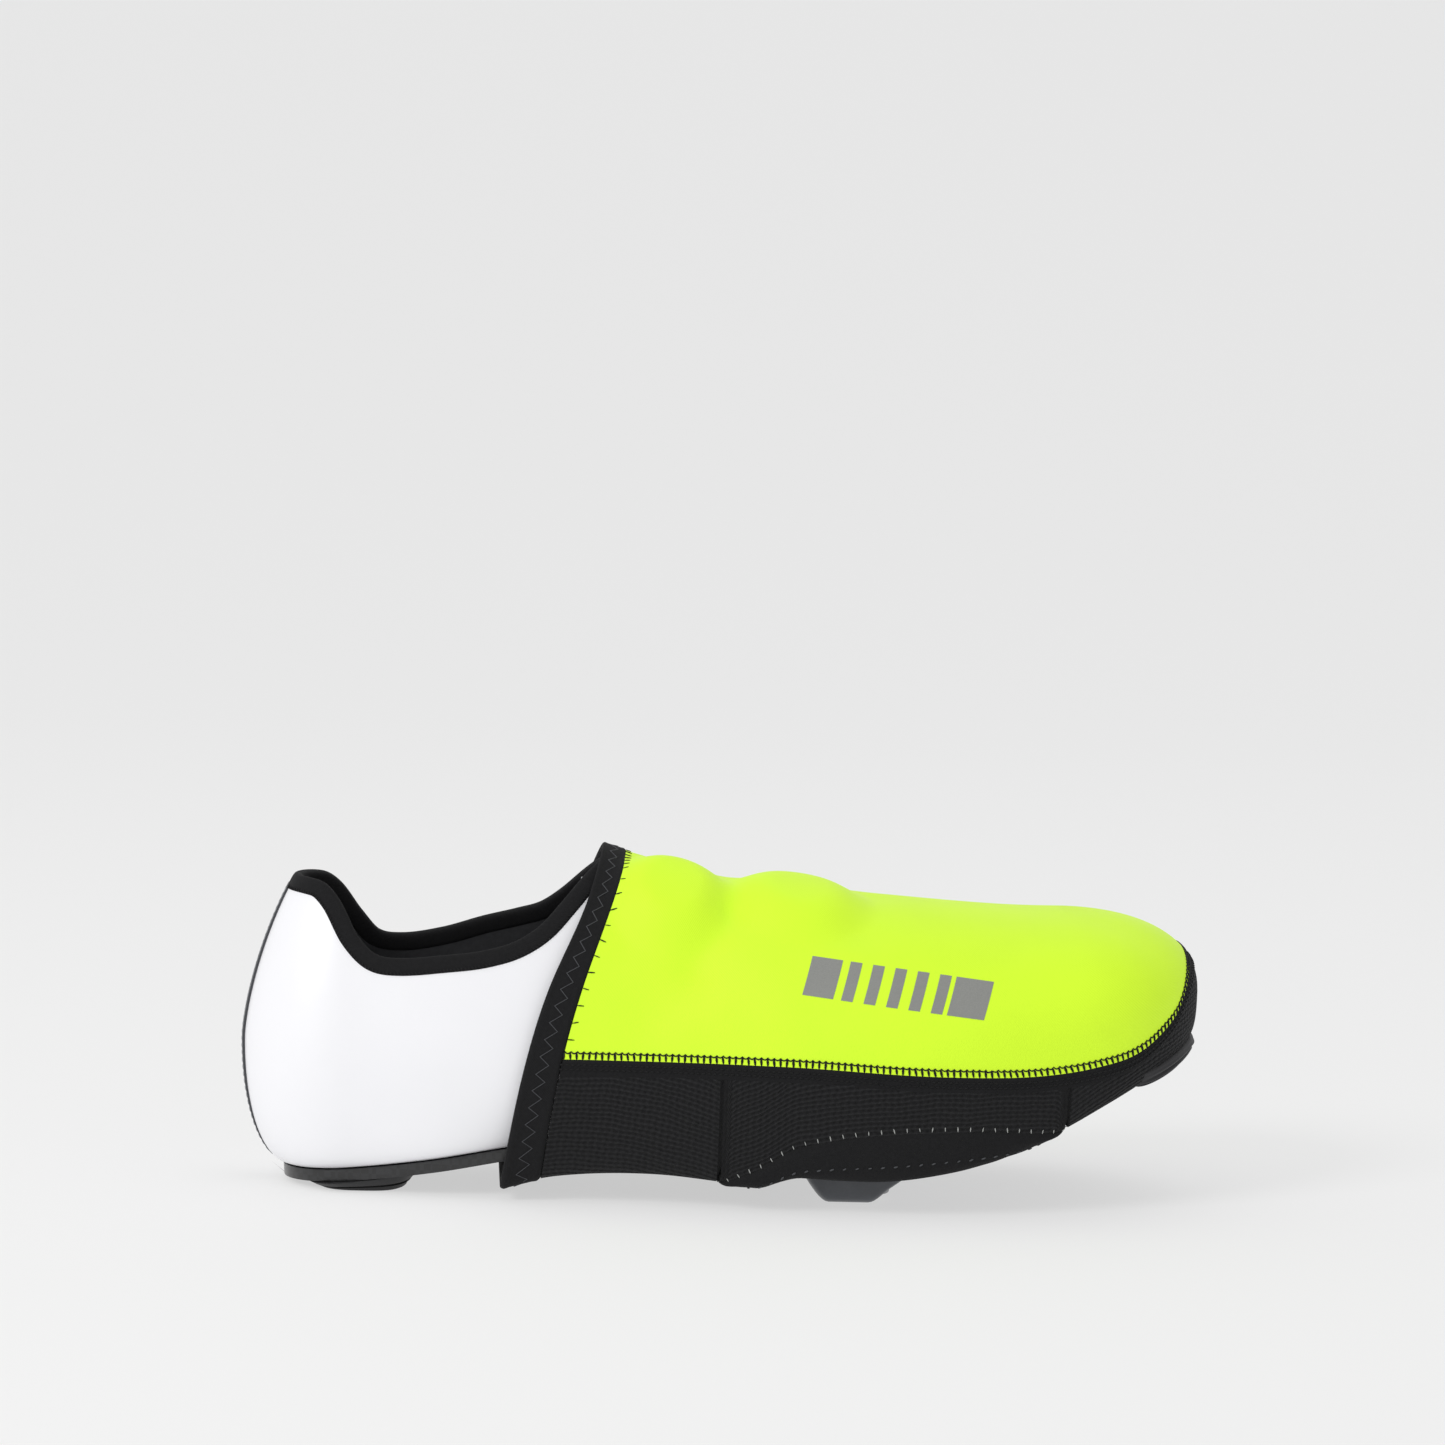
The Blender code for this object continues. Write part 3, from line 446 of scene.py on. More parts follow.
def cover_point(column, side, girth, grow=COVER_SKIN):
    """A point of the cover. girth is 1 on the ridge, 0 at the widest level, -1 at the turn of the
    underside and -2 on the middle line under the sole."""
    axis, wide = outline(column, side, grow)
    at = share_of(wide.x)
    if girth >= 0:
        point = crown_point(column, side, girth, grow)
        centre = Vector((point.x, axis.y, LAST_AT["widest"](at)))
        return point + (point - centre).normalized() * (bulge(point) + fold(point))
    low = LAST_AT["widest"](at)
    angle = math.radians(90 * min(-girth, 1))
    power = 2 / UNDER_ROUNDNESS
    tuck = COVER_TUCK * (1 - max(math.cos(angle), 0) ** power)
    point = wide + (axis - wide).normalized() * tuck
    if girth < -1:
        point = point.lerp(axis, -girth - 1)
    foot = sole_bottom(point.x) - HANG_AT["drop"](share_of(point.x)) - grow
    point.z = low - (low - foot) * max(math.sin(angle), 0) ** power
    return point


def crossing(height_above, low, high):
    """Where height_above changes sign between low and high, by halving."""
    for _ in range(30):
        middle = (low + high) / 2
        if (height_above(low) > 0) == (height_above(middle) > 0):
            low = middle
        else:
            high = middle
    return (low + high) / 2


def collar_girth(column, side):
    if column.at >= THROAT_AT:
        return 1.0

    def above(girth):
        point = shoe_point(column, side, girth)
        return point.z - COLLAR_AT[side_name(side)](share_of(point.x))

    return crossing(above, 0.0, 1.0)


def seam_girth(column, side):
    def above(girth):
        point = cover_point(column, side, girth)
        return point.z - SEAM_AT["height"](share_of(point.x))

    return crossing(above, -0.5, 1.0)


def opening_girth(at):
    far = (x_of(at) - x_of(OPENING_CENTRE_AT)) / OPENING_HALF_LENGTH
    return -2 + OPENING_RISE * max(1 - far * far, 0) ** (OPENING_SQUARENESS / 2)


def hem_share(side, girth, edge, grow):
    """Share of the length at which the hem's front or rear edge crosses a girth."""
    at = THROAT_AT
    for _ in range(10):
        height = cover_point(Column(at, 0), side, girth, grow).z / INSTEP_HEIGHT
        at = HEM_AT[edge](height) / SHOE_LENGTH
    return at


# Ways round the shoe and round the cover, by a turn from 0 at the lateral rear to 1 at the medial rear
SIDE_RUN = (AXIS_FRONT_AT - COVER_START_AT) * SHOE_LENGTH
TOE_RUN = 0.070
HEEL_RUN = 0.044
SHOE_SIDE_RUN = (AXIS_FRONT_AT - AXIS_REAR_AT) * SHOE_LENGTH


def cover_way(turn):
    """Column and side of a turn round the cover, from the lateral hem to the medial hem."""
    side = LATERAL if turn <= 0.5 else MEDIAL
    run = (1 - abs(2 * turn - 1)) * (SIDE_RUN + TOE_RUN)
    if run <= SIDE_RUN:
        return Column(COVER_START_AT + run / SHOE_LENGTH, 0), side
    return Column(AXIS_FRONT_AT, 90 * (run - SIDE_RUN) / TOE_RUN), side


def shoe_way(turn):
    """Column and side of a turn round the shoe, from the heel along the lateral side and back."""
    side = LATERAL if turn <= 0.5 else MEDIAL
    run = (1 - abs(2 * turn - 1)) * (HEEL_RUN + SHOE_SIDE_RUN + TOE_RUN) - HEEL_RUN
    if run < 0:
        return Column(AXIS_REAR_AT, 90 * run / HEEL_RUN), side
    if run <= SHOE_SIDE_RUN:
        return Column(AXIS_REAR_AT + run / SHOE_LENGTH, 0), side
    return Column(AXIS_FRONT_AT, 90 * (run - SHOE_SIDE_RUN) / TOE_RUN), side


def cached(function):
    """Keeps what a slow function of a few numbers has worked out."""
    known = {}

    def look(*key):
        if key not in known:
            known[key] = function(*key)
        return known[key]

    return look


SEAM_STEPS = 800
SEAM_GIRTHS = [seam_girth(*cover_way(i / SEAM_STEPS)) for i in range(SEAM_STEPS + 1)]


def seam_at_turn(turn):
    place = min(max(turn, 0), 1) * SEAM_STEPS
    i = min(int(place), SEAM_STEPS - 1)
    return SEAM_GIRTHS[i] + (SEAM_GIRTHS[i + 1] - SEAM_GIRTHS[i]) * (place - i)


@cached
def lean_at(side, girth, grow):
    return hem_share(side, girth, "front", grow) - COVER_START_AT


def skin_point(turn, girth, grow=COVER_SKIN):
    """A point of the cover by its turn and girth, leaning with the hem at the rear."""
    column, side = cover_way(turn)
    lean = min(max((OPENING_START_AT - column.at) / (OPENING_START_AT - COVER_START_AT), 0), 1)
    if lean > 0:
        step = 0.02
        low = math.floor(girth / step) * step
        share = (girth - low) / step
        rear, front = lean_at(side, round(low, 4), grow), lean_at(side, round(low + step, 4), grow)
        column = Column(column.at + (rear + (front - rear) * share) * lean, column.fan)
    return cover_point(column, side, girth, grow)


# Materials


def linear(hex_colour):
    """Linear RGBA of an sRGB colour written as six hex digits."""
    channels = [int(hex_colour[i : i + 2], 16) / 255 for i in (0, 2, 4)]
    return (*(c / 12.92 if c <= 0.04045 else ((c + 0.055) / 1.055) ** 2.4 for c in channels), 1.0)


def shade(colour, factor):
    """A lighter or darker tone of a linear colour."""
    return (*(min(c * factor, 1.0) for c in tuple(colour)[:3]), 1.0)


def add(tree, kind, values=None, links=None, **settings):
    """Adds a node with its settings, its input values and the sockets linked to its inputs."""
    node = tree.nodes.new(kind)
    for name, value in settings.items():
        setattr(node, name, value)
    for name, value in (values or {}).items():
        node.inputs[name].default_value = value
    for name, socket in (links or {}).items():
        tree.links.new(socket, node.inputs[name])
    return node


def new_material(name, colour, roughness, **values):
    """A material whose shader has constant values, with its node tree and its shader."""
    material = bpy.data.materials.new(name)
    material.use_nodes = True
    tree = material.node_tree
    shader = tree.nodes["Principled BSDF"]
    shader.inputs["Base Color"].default_value = tuple(colour)
    shader.inputs["Roughness"].default_value = roughness
    for socket, value in values.items():
        shader.inputs[socket.replace("_", " ")].default_value = value
    return material, tree, shader


def object_coordinates(tree):
    return add(tree, "ShaderNodeTexCoord").outputs["Object"]


def cloth_coordinates(tree):
    """Coordinates in metres along and up the cloth, as one vector and as two numbers."""
    vector = add(tree, "ShaderNodeUVMap", uv_map="cloth").outputs["UV"]
    parts = add(tree, "ShaderNodeSeparateXYZ", links={"Vector": vector})
    return vector, parts.outputs[0], parts.outputs[1]


def tinted(tree, shader, factor, dark, light):
    """Base colour between two tones, by a factor."""
    mix = add(tree, "ShaderNodeMix", links={0: factor}, data_type="RGBA")
    mix.inputs[6].default_value = dark
    mix.inputs[7].default_value = light
    tree.links.new(mix.outputs[2], shader.inputs["Base Color"])


def bumped(tree, shader, height, distance, strength=1.0, under=None):
    links = {"Height": height}
    if under is not None:
        links["Normal"] = under
    bump = add(tree, "ShaderNodeBump", {"Strength": strength, "Distance": distance}, links)
    tree.links.new(bump.outputs["Normal"], shader.inputs["Normal"])
    return bump.outputs["Normal"]


def noise_of(tree, coordinates, size, detail=2.0, roughness=0.5):
    """Noise with lumps of about size metres."""
    values = {"Scale": 1 / size, "Detail": detail, "Roughness": roughness}
    return add(tree, "ShaderNodeTexNoise", values, {"Vector": coordinates}).outputs["Fac"]


def math_of(tree, operation, *terms):
    """A Math node whose terms are numbers or sockets."""
    node = add(tree, "ShaderNodeMath", operation=operation)
    for socket, term in zip(node.inputs, terms):
        if isinstance(term, (int, float)):
            socket.default_value = term
        else:
            tree.links.new(term, socket)
    return node.outputs[0]


def wave_of(tree, place, pitch, shift=0.0):
    """A sine wave along a coordinate, one wave every pitch metres."""
    return math_of(tree, "SINE", math_of(tree, "MULTIPLY_ADD", place, 2 * math.pi / pitch, shift))


@cached
def neoprene():
    """Fluorescent polyester jersey on neoprene foam: matt and even, with a soft fuzz, fine wales and a
    painted glow.
    """
    colour = bpy.context.scene.toe_cover_colours.neoprene
    # The emission is a painted glow in the yellow's own colour. It brightens the panel where shade falls on
    # it.
    material, tree, shader = new_material(
        "fluorescent_neoprene", colour, 0.66, Sheen_Weight=0.10, Sheen_Roughness=0.45, Emission_Strength=0.10
    )
    shader.inputs["Emission Color"].default_value = tuple(colour)
    place = object_coordinates(tree)
    tinted(tree, shader, noise_of(tree, place, 0.030, 3.0), shade(colour, 0.93), shade(colour, 1.06))
    _, along, up = cloth_coordinates(tree)
    # Wales of the jersey are 0.35 mm apart, drawn twice as coarse so that they show
    wales = math_of(tree, "MULTIPLY", wave_of(tree, along, 0.0007), wave_of(tree, up, 0.0009))
    first = bumped(tree, shader, wales, 0.00004, 0.45)
    second = bumped(tree, shader, noise_of(tree, place, 0.0006, 4.0, 0.6), 0.00010, 0.35, first)
    bumped(tree, shader, noise_of(tree, place, 0.014, 1.5), 0.0007, 0.30, second)
    return material


@cached
def rib_knit():
    """Black polyester rib knit: cords 1.45 mm apart along the shoe, each broken into short loops."""
    colour = bpy.context.scene.toe_cover_colours.knit
    material, tree, shader = new_material(
        "black_rib_knit", colour, 0.88, Sheen_Weight=0.03, Sheen_Roughness=0.5, Specular_IOR_Level=0.14
    )
    cloth, along, up = cloth_coordinates(tree)
    place = object_coordinates(tree)
    wander = math_of(tree, "MULTIPLY_ADD", noise_of(tree, cloth, 0.011, 2.0), 0.0020, up)
    cords = wave_of(tree, wander, 0.00145)
    stagger = wave_of(tree, wander, 0.0029)
    loops = math_of(tree, "SINE", math_of(tree, "MULTIPLY_ADD", along, 2 * math.pi / 0.0021, stagger))
    height = math_of(tree, "MULTIPLY_ADD", loops, 0.45, cords)
    grain = noise_of(tree, place, 0.0005, 3.0, 0.7)
    # Tone follows the height of the cords and loops: painted shade in the hollows between them and painted
    # light on their tops, with random fibre grain.
    tone = math_of(tree, "MULTIPLY_ADD", height, 0.22, grain)
    tinted(tree, shader, tone, shade(colour, 0.45), shade(colour, 2.3))
    first = bumped(tree, shader, height, 0.00024, 0.9)
    bumped(tree, shader, grain, 0.00016, 0.6, first)
    return material


@cached
def black_tape():
    """Woven polyester binding tape: a tight plain weave, matt, with a little lint."""
    colour = bpy.context.scene.toe_cover_colours.tape
    material, tree, shader = new_material(
        "binding_tape", colour, 0.85, Sheen_Weight=0.03, Sheen_Roughness=0.5, Specular_IOR_Level=0.14
    )
    _, along, up = cloth_coordinates(tree)
    # Threads of the tape are 0.35 mm apart, drawn twice as coarse so that they show
    weave = math_of(tree, "MULTIPLY", wave_of(tree, along, 0.0007), wave_of(tree, up, 0.0007))
    lint = noise_of(tree, object_coordinates(tree), 0.0009, 4.0, 0.7)
    tinted(tree, shader, lint, shade(colour, 0.7), shade(colour, 2.0))
    first = bumped(tree, shader, weave, 0.00008, 0.5)
    bumped(tree, shader, lint, 0.00015, 0.5, first)
    return material


@cached
def microfibre():
    """White microfibre with a polyurethane face: smooth, softly glossy, with a faint pore grain."""
    colour = bpy.context.scene.toe_cover_colours.upper
    coat = {"Coat_Weight": 0.15, "Coat_Roughness": 0.35}
    material, tree, shader = new_material("coated_microfibre", colour, 0.40, **coat)
    place = object_coordinates(tree)
    tinted(tree, shader, noise_of(tree, place, 0.045, 2.0), shade(colour, 0.96), shade(colour, 1.03))
    pores = add(tree, "ShaderNodeTexVoronoi", {"Scale": 1 / 0.0010}, {"Vector": place}).outputs["Distance"]
    first = bumped(tree, shader, pores, 0.00003, 0.25)
    second = bumped(tree, shader, noise_of(tree, place, 0.012, 1.5), 0.0005, 0.12, first)
    scuffs = noise_of(tree, place, 0.0022, 5.0, 0.7)
    bumped(tree, shader, scuffs, 0.00004, 0.25, second)
    tree.links.new(math_of(tree, "MULTIPLY_ADD", scuffs, 0.16, 0.32), shader.inputs["Roughness"])
    return material


@cached
def brushed_cloth(name, dark, light, grain):
    """A lining or knitted cloth seen from a step away: mottled and matt, with a soft grain."""
    material, tree, shader = new_material(name, linear(dark), 0.92, Sheen_Weight=0.15, Sheen_Roughness=0.5)
    place = object_coordinates(tree)
    lumps = noise_of(tree, place, grain, 4.0, 0.7)
    tinted(tree, shader, lumps, linear(dark), linear(light))
    cells = add(tree, "ShaderNodeTexVoronoi", {"Scale": 0.7 / grain}, {"Vector": place}).outputs["Distance"]
    first = bumped(tree, shader, cells, 0.00020, 0.5)
    bumped(tree, shader, lumps, 0.00012, 0.5, first)
    return material


def cover_lining():
    return brushed_cloth("cover_lining_jersey", "17181A", "2A2B2E", 0.0012)


def shoe_lining():
    return brushed_cloth("shoe_lining_mesh", "232325", "3C3D40", 0.0016)


def footbed():
    return brushed_cloth("footbed_cloth", "2C2D30", "44464A", 0.0010)


def silver_cloth():
    return brushed_cloth("silver_tongue_cloth", "9C9EA2", "C4C6CA", 0.0014)


@cached
def sewing_thread(name, colour):
    """Twisted polyester thread: a little shiny, with a fine twist."""
    material, tree, shader = new_material(name, linear(colour), 0.65, Sheen_Weight=0.05, Sheen_Roughness=0.4)
    shader.inputs["Specular IOR Level"].default_value = 0.2
    bumped(tree, shader, noise_of(tree, object_coordinates(tree), 0.0003, 3.0, 0.6), 0.00005, 0.5)
    return material


def black_thread():
    return sewing_thread("black_polyester_thread", "161617")


def grey_thread():
    return sewing_thread("grey_polyester_thread", "4A4B4E")


def pale_thread():
    return sewing_thread("pale_polyester_thread", "A9ABA8")


def silver_thread():
    return sewing_thread("silver_polyester_thread", "B9BBBE")


@cached
def moulded(name, dark, light, roughness, grain, depth, coat):
    """Moulded plastic or rubber: a fine cast grain and slightly uneven gloss."""
    material, tree, shader = new_material(name, linear(dark), roughness, Coat_Weight=coat, Coat_Roughness=0.3)
    place = object_coordinates(tree)
    cloud = noise_of(tree, place, 0.008, 4.0, 0.65)
    tinted(tree, shader, cloud, linear(dark), linear(light))
    tree.links.new(math_of(tree, "MULTIPLY_ADD", cloud, 0.20, roughness - 0.10), shader.inputs["Roughness"])
    bumped(tree, shader, noise_of(tree, place, grain, 4.0, 0.6), depth, 0.5)
    return material


def toe_rubber():
    """Soft synthetic rubber, matt and slightly dusty."""
    return moulded("toe_bumper_rubber", "1B1B1D", "2A2A2D", 0.62, 0.0008, 0.00010, 0.0)


def heel_rubber():
    """Hard carbon-filled rubber, scuffed to a dull black."""
    return moulded("heel_block_rubber", "141415", "262628", 0.58, 0.0010, 0.00012, 0.0)


def cleat_nylon():
    """Glass-filled nylon, moulded: dark grey with a waxy gloss."""
    return moulded("cleat_nylon", "3A3C40", "55585D", 0.42, 0.0012, 0.00008, 0.10)


@cached
def carbon_composite():
    """Glass-filled nylon sole with a faint twill under a satin clear skin."""
    material, tree, shader = new_material("moulded_composite", linear("151516"), 0.32, Coat_Weight=0.35)
    shader.inputs["Coat Roughness"].default_value = 0.22
    place = object_coordinates(tree)
    turned = add(tree, "ShaderNodeMapping", {"Rotation": (0, 0, math.radians(45))}, {"Vector": place})
    # Tows of the twill are 2 mm wide
    tows = add(tree, "ShaderNodeTexChecker", {"Scale": 1 / 0.0020}, {"Vector": turned.outputs[0]})
    cloud = noise_of(tree, place, 0.006, 4.0)
    factor = math_of(tree, "MULTIPLY", tows.outputs["Fac"], cloud)
    tinted(tree, shader, factor, linear("121213"), linear("242527"))
    bumped(tree, shader, cloud, 0.0001, 0.3)
    return material


@cached
def plated_steel():
    """Zinc-plated steel, with turning marks."""
    material, tree, shader = new_material("plated_steel", linear("9A9A9C"), 0.35, Metallic=1.0)
    bumped(tree, shader, noise_of(tree, object_coordinates(tree), 0.0004, 4.0, 0.7), 0.00004, 0.5)
    return material


@cached
def reflective_ink():
    """Grey glass-bead ink: flat grey in plain light, with a fine sparkle of beads."""
    material, tree, shader = new_material("glass_bead_ink", linear("8F908C"), 0.5, Metallic=0.25)
    beads = noise_of(tree, object_coordinates(tree), 0.0003, 2.0, 0.9)
    tinted(tree, shader, beads, linear("7C7D7A"), linear("9FA09C"))
    bumped(tree, shader, beads, 0.00005, 0.5)
    return material


@cached
def heel_tape():
    """Dark reflective woven tape: black, the silver shimmer of its beads painted as lighter thread tops with
    shade between.
    """
    material, tree, shader = new_material("reflective_heel_tape", linear("3A3B3E"), 0.45, Metallic=0.3)
    _, along, up = cloth_coordinates(tree)
    weave = math_of(tree, "MULTIPLY", wave_of(tree, along, 0.0010), wave_of(tree, up, 0.0010))
    # Tone follows the weave's height: painted highlight on the thread tops and painted shade in the gaps
    # between them.
    tinted(tree, shader, math_of(tree, "MULTIPLY_ADD", weave, 0.5, 0.5), linear("2C2D30"), linear("55575B"))
    bumped(tree, shader, weave, 0.00008, 0.5)
    return material


# Making of meshes


def alone(obj):
    """Deselects everything else and makes the object active."""
    if bpy.context.object and bpy.context.object.mode != "OBJECT":
        bpy.ops.object.mode_set(mode="OBJECT")
    bpy.ops.object.select_all(action="DESELECT")
    bpy.context.view_layer.objects.active = obj
    obj.select_set(True)


def edit(obj, *steps):
    """Runs edit-mode operators on the whole of a mesh."""
    alone(obj)
    bpy.ops.object.mode_set(mode="EDIT")
    for step in steps:
        bpy.ops.mesh.select_all(action="SELECT")
        step()
    bpy.ops.object.mode_set(mode="OBJECT")


def weld():
    bpy.ops.mesh.remove_doubles(threshold=0.000005)


def outwards():
    bpy.ops.mesh.normals_make_consistent(inside=False)


def close_ends():
    bpy.ops.mesh.fill_holes(sides=0)


def dissolve_slivers():
    bpy.ops.mesh.dissolve_degenerate(threshold=0.00001)


def modified(obj, kind, **settings):
    """Adds a modifier and applies it."""
    alone(obj)
    modifier = obj.modifiers.new(kind.lower(), kind)
    for name, value in settings.items():
        setattr(modifier, name, value)
    bpy.ops.object.modifier_apply(modifier=modifier.name)
    return obj


def named(obj, name):
    obj.name = name
    obj.data.name = name
    return obj


def put(obj, places):
    obj.data.vertices.foreach_set("co", np.array(places, np.float32).ravel())
    obj.data.update()


def cloth_map(obj, lengths):
    """A UV map in metres, from each vertex's own lengths along and across."""
    layer = obj.data.uv_layers.new(name="cloth")
    loops = np.empty(len(obj.data.loops), np.int32)
    obj.data.loops.foreach_get("vertex_index", loops)
    layer.data.foreach_set("uv", np.array(lengths, np.float32)[loops].ravel())


def run_lengths(points, axis):
    """Lengths along a grid of points, from its first row."""
    steps = np.linalg.norm(np.diff(points, axis=axis), axis=2)
    return np.concatenate([np.zeros_like(np.take(steps, [0], axis)), np.cumsum(steps, axis=axis)], axis=axis)


def grid(name, across, up, place, *steps):
    """A cloth from a flat grid, each point moved to place(u, v), with u and v from 0 to 1, then welded
    where its points meet, and given any further edit steps."""
    bpy.ops.object.select_all(action="DESELECT")
    bpy.ops.mesh.primitive_grid_add(x_subdivisions=across, y_subdivisions=up, size=2, calc_uvs=False)
    obj = named(bpy.context.object, name)
    flat = np.empty(len(obj.data.vertices) * 3, np.float32)
    obj.data.vertices.foreach_get("co", flat)
    flat = flat.reshape(-1, 3)
    i = np.rint((flat[:, 0] + 1) / 2 * across).astype(int)
    j = np.rint((flat[:, 1] + 1) / 2 * up).astype(int)
    points = np.array([[place(a / across, b / up) for b in range(up + 1)] for a in range(across + 1)])
    put(obj, points[i, j])
    middle = run_lengths(points, 0)[:, up // 2]
    cloth_map(obj, np.stack([middle[i], run_lengths(points, 1)[i, j]], axis=1))
    edit(obj, weld, *steps)
    return obj


def smooth(obj, degrees=40):
    alone(obj)
    bpy.ops.object.shade_smooth_by_angle(angle=math.radians(degrees))
    return obj


def painted(obj, *materials):
    for material in materials:
        obj.data.materials.append(material)
    return obj


def walled(obj, thickness, outside, inside=None, offset=-1):
    """Gives a sheet its materials and then its wall, inwards where offset is -1."""
    painted(obj, outside, *([inside] if inside else []))
    flip = 1 if inside else 0
    return modified(obj, "SOLIDIFY", thickness=thickness, offset=offset, material_offset=flip)


def finished(obj, slot, *nodes):
    """Gives a piece its body and hides the nodes that it stands for. slot is not used."""
    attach(obj, "root")
    if nodes:
        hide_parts(*nodes)
    return obj


def bead(length, width, height, segments=8, rings=5):
    """Points and faces of a small bead, from a sphere."""
    bpy.ops.object.select_all(action="DESELECT")
    bpy.ops.mesh.primitive_uv_sphere_add(segments=segments, ring_count=rings, radius=0.5)
    obj = bpy.context.object
    edit(obj, lambda: bpy.ops.transform.resize(value=(length, width, height)))
    points = np.array([v.co for v in obj.data.vertices])
    faces = [tuple(p.vertices) for p in obj.data.polygons]
    bpy.data.objects.remove(obj)
    return points, faces


def repeated(name, shape, places):
    """One mesh from many copies of a shape, each moved by a matrix."""
    points, faces = shape
    flat = np.hstack([points, np.ones((len(points), 1))])
    spread = [(flat @ np.array(m).T)[:, :3] for m in places]
    count = len(points)
    joined = [tuple(v + k * count for v in face) for k in range(len(places)) for face in faces]
    mesh = bpy.data.meshes.new(name)
    mesh.from_pydata(np.vstack(spread).tolist(), [], joined)
    mesh.shade_smooth()
    obj = bpy.data.objects.new(name, mesh)
    bpy.context.scene.collection.objects.link(obj)
    return obj


def stand(point, along, up, lift=0.0, turn=0.0, scale=1.0):
    """Matrix of a stitch on a surface: X along, Y up the surface and Z out of it."""
    out = along.cross(up).normalized()
    along = along.normalized()
    up = out.cross(along)
    matrix = Matrix((along, up, out)).transposed().to_4x4()
    matrix.translation = point + out * lift
    return matrix @ Matrix.Rotation(turn, 4, "Z") @ Matrix.Scale(scale, 4)


def strand(name, points, radius, closed=False):
    """A thread through points, as a mesh."""
    curve = bpy.data.curves.new(name, "CURVE")
    curve.dimensions = "3D"
    curve.bevel_depth = radius
    curve.bevel_resolution = 1
    curve.use_fill_caps = True
    spline = curve.splines.new("POLY")
    spline.points.add(len(points) - 1)
    for place, point in zip(spline.points, points):
        place.co = (*point, 1)
    spline.use_cyclic_u = closed
    obj = bpy.data.objects.new(name, curve)
    bpy.context.scene.collection.objects.link(obj)
    alone(obj)
    bpy.ops.object.convert(target="MESH")
    obj = bpy.context.object
    edit(obj, weld)
    obj.data.shade_smooth()
    return obj


def evened(path, count, fine=12):
    """Places from 0 to 1 along a path that part it into count stretches of equal length."""
    places = np.linspace(0, 1, fine * count + 1)
    points = np.array([path(place) for place in places])
    lengths = np.concatenate([[0], np.cumsum(np.linalg.norm(np.diff(points, axis=0), axis=1))])
    return np.interp(np.linspace(0, lengths[-1], count + 1), lengths, places).tolist()


def path_length(path, steps=400):
    points = [path(k / steps) for k in range(steps + 1)]
    return sum((b - a).length for a, b in zip(points, points[1:]))


def spread(path, pitch):
    """Places from 0 to 1 along a path, pitch metres apart."""
    return evened(path, max(round(path_length(path) / pitch), 2))


def squircle(turn, power):
    """A point of a rounded square round the origin, from -1 to 1 each way."""
    angle = 2 * math.pi * turn
    return tuple(math.copysign(abs(f) ** power, f) for f in (math.cos(angle), math.sin(angle)))


def skin_frame(turn, girth, grow=COVER_SKIN):
    """A point of the cover's outside, with its directions along the shoe and up the cover."""
    step = 0.002
    along = skin_point(min(turn + step, 1), girth, grow) - skin_point(max(turn - step, 0), girth, grow)
    up = skin_point(turn, girth + step, grow) - skin_point(turn, girth - step, grow)
    return skin_point(turn, girth, grow), along, up


def moved_up(turn, girth, rise):
    """The girth that lies rise metres further up the cover."""
    if rise == 0:
        return girth
    start = skin_point(turn, girth)
    reach = math.copysign(0.04, rise)
    for _ in range(6):
        reach *= abs(rise) / (skin_point(turn, girth + reach) - start).length
    return girth + reach


# Pieces of the cover


def cover_top_panel():
    """Yellow neoprene over the instep and the toe, with its creases and the bulges of the dials."""
    turns = evened(lambda t: skin_point(t, 0.3), 400, 4)

    def place(u, v):
        turn = turns[round(u * 400)]
        low = seam_at_turn(turn)
        return skin_point(turn, low + (1 - low) * v)

    panel = grid("cover_top_panel", 400, 66, place)
    walled(panel, COVER_WALL, neoprene(), cover_lining())
    return finished(smooth(panel, 60), "yellow_neoprene", "cover_top_panel")


def cover_lower_panel():
    """Black rib knit from the seam down and under the sole."""
    turns = evened(lambda t: skin_point(t, -0.2), 400, 4)

    def place(u, v):
        turn = turns[round(u * 400)]
        column, side = cover_way(turn)
        low = opening_girth(column.at)
        high = seam_at_turn(turn)
        return skin_point(turn, low + (high - low) * v)

    panel = grid("cover_lower_panel", 400, 60, place)
    walled(panel, COVER_WALL, rib_knit(), cover_lining())
    return finished(smooth(panel, 60), "black_knit", "cover_lower_panel")


def seam_tape():
    """Narrow tape under the seam, that the two rows of stitches hold down."""
    sizes = bpy.context.scene.toe_cover_sizes

    def place(u, v):
        girth = seam_at_turn(u)
        rise = -SEAM_TAPE_WIDTH * (1 - v)
        edge = 1 - abs(2 * v - 1) ** 6
        return skin_point(u, moved_up(u, girth, rise), COVER_SKIN + SEAM_TAPE_PROUD * edge)

    strip = grid("seam_tape", 420, 8, place)
    walled(strip, 2 * SEAM_TAPE_PROUD, black_tape())
    finished(smooth(strip, 60), "black_knit")

    places = []
    for row in SEAM_ROWS:
        def path(u, row=row):
            return skin_point(u, moved_up(u, seam_at_turn(u), -row))

        for turn in spread(path, sizes.seam_pitch):
            girth = moved_up(turn, seam_at_turn(turn), -row)
            point, along, up = skin_frame(turn, girth)
            places.append(stand(point, along, up, SEAM_TAPE_PROUD + 0.10 * MM))
    shape = bead(sizes.seam_pitch * 0.80, 0.62 * MM, 0.55 * MM)
    stitches = painted(repeated("seam_stitches", shape, places), black_thread())
    return finished(stitches, "black_knit")


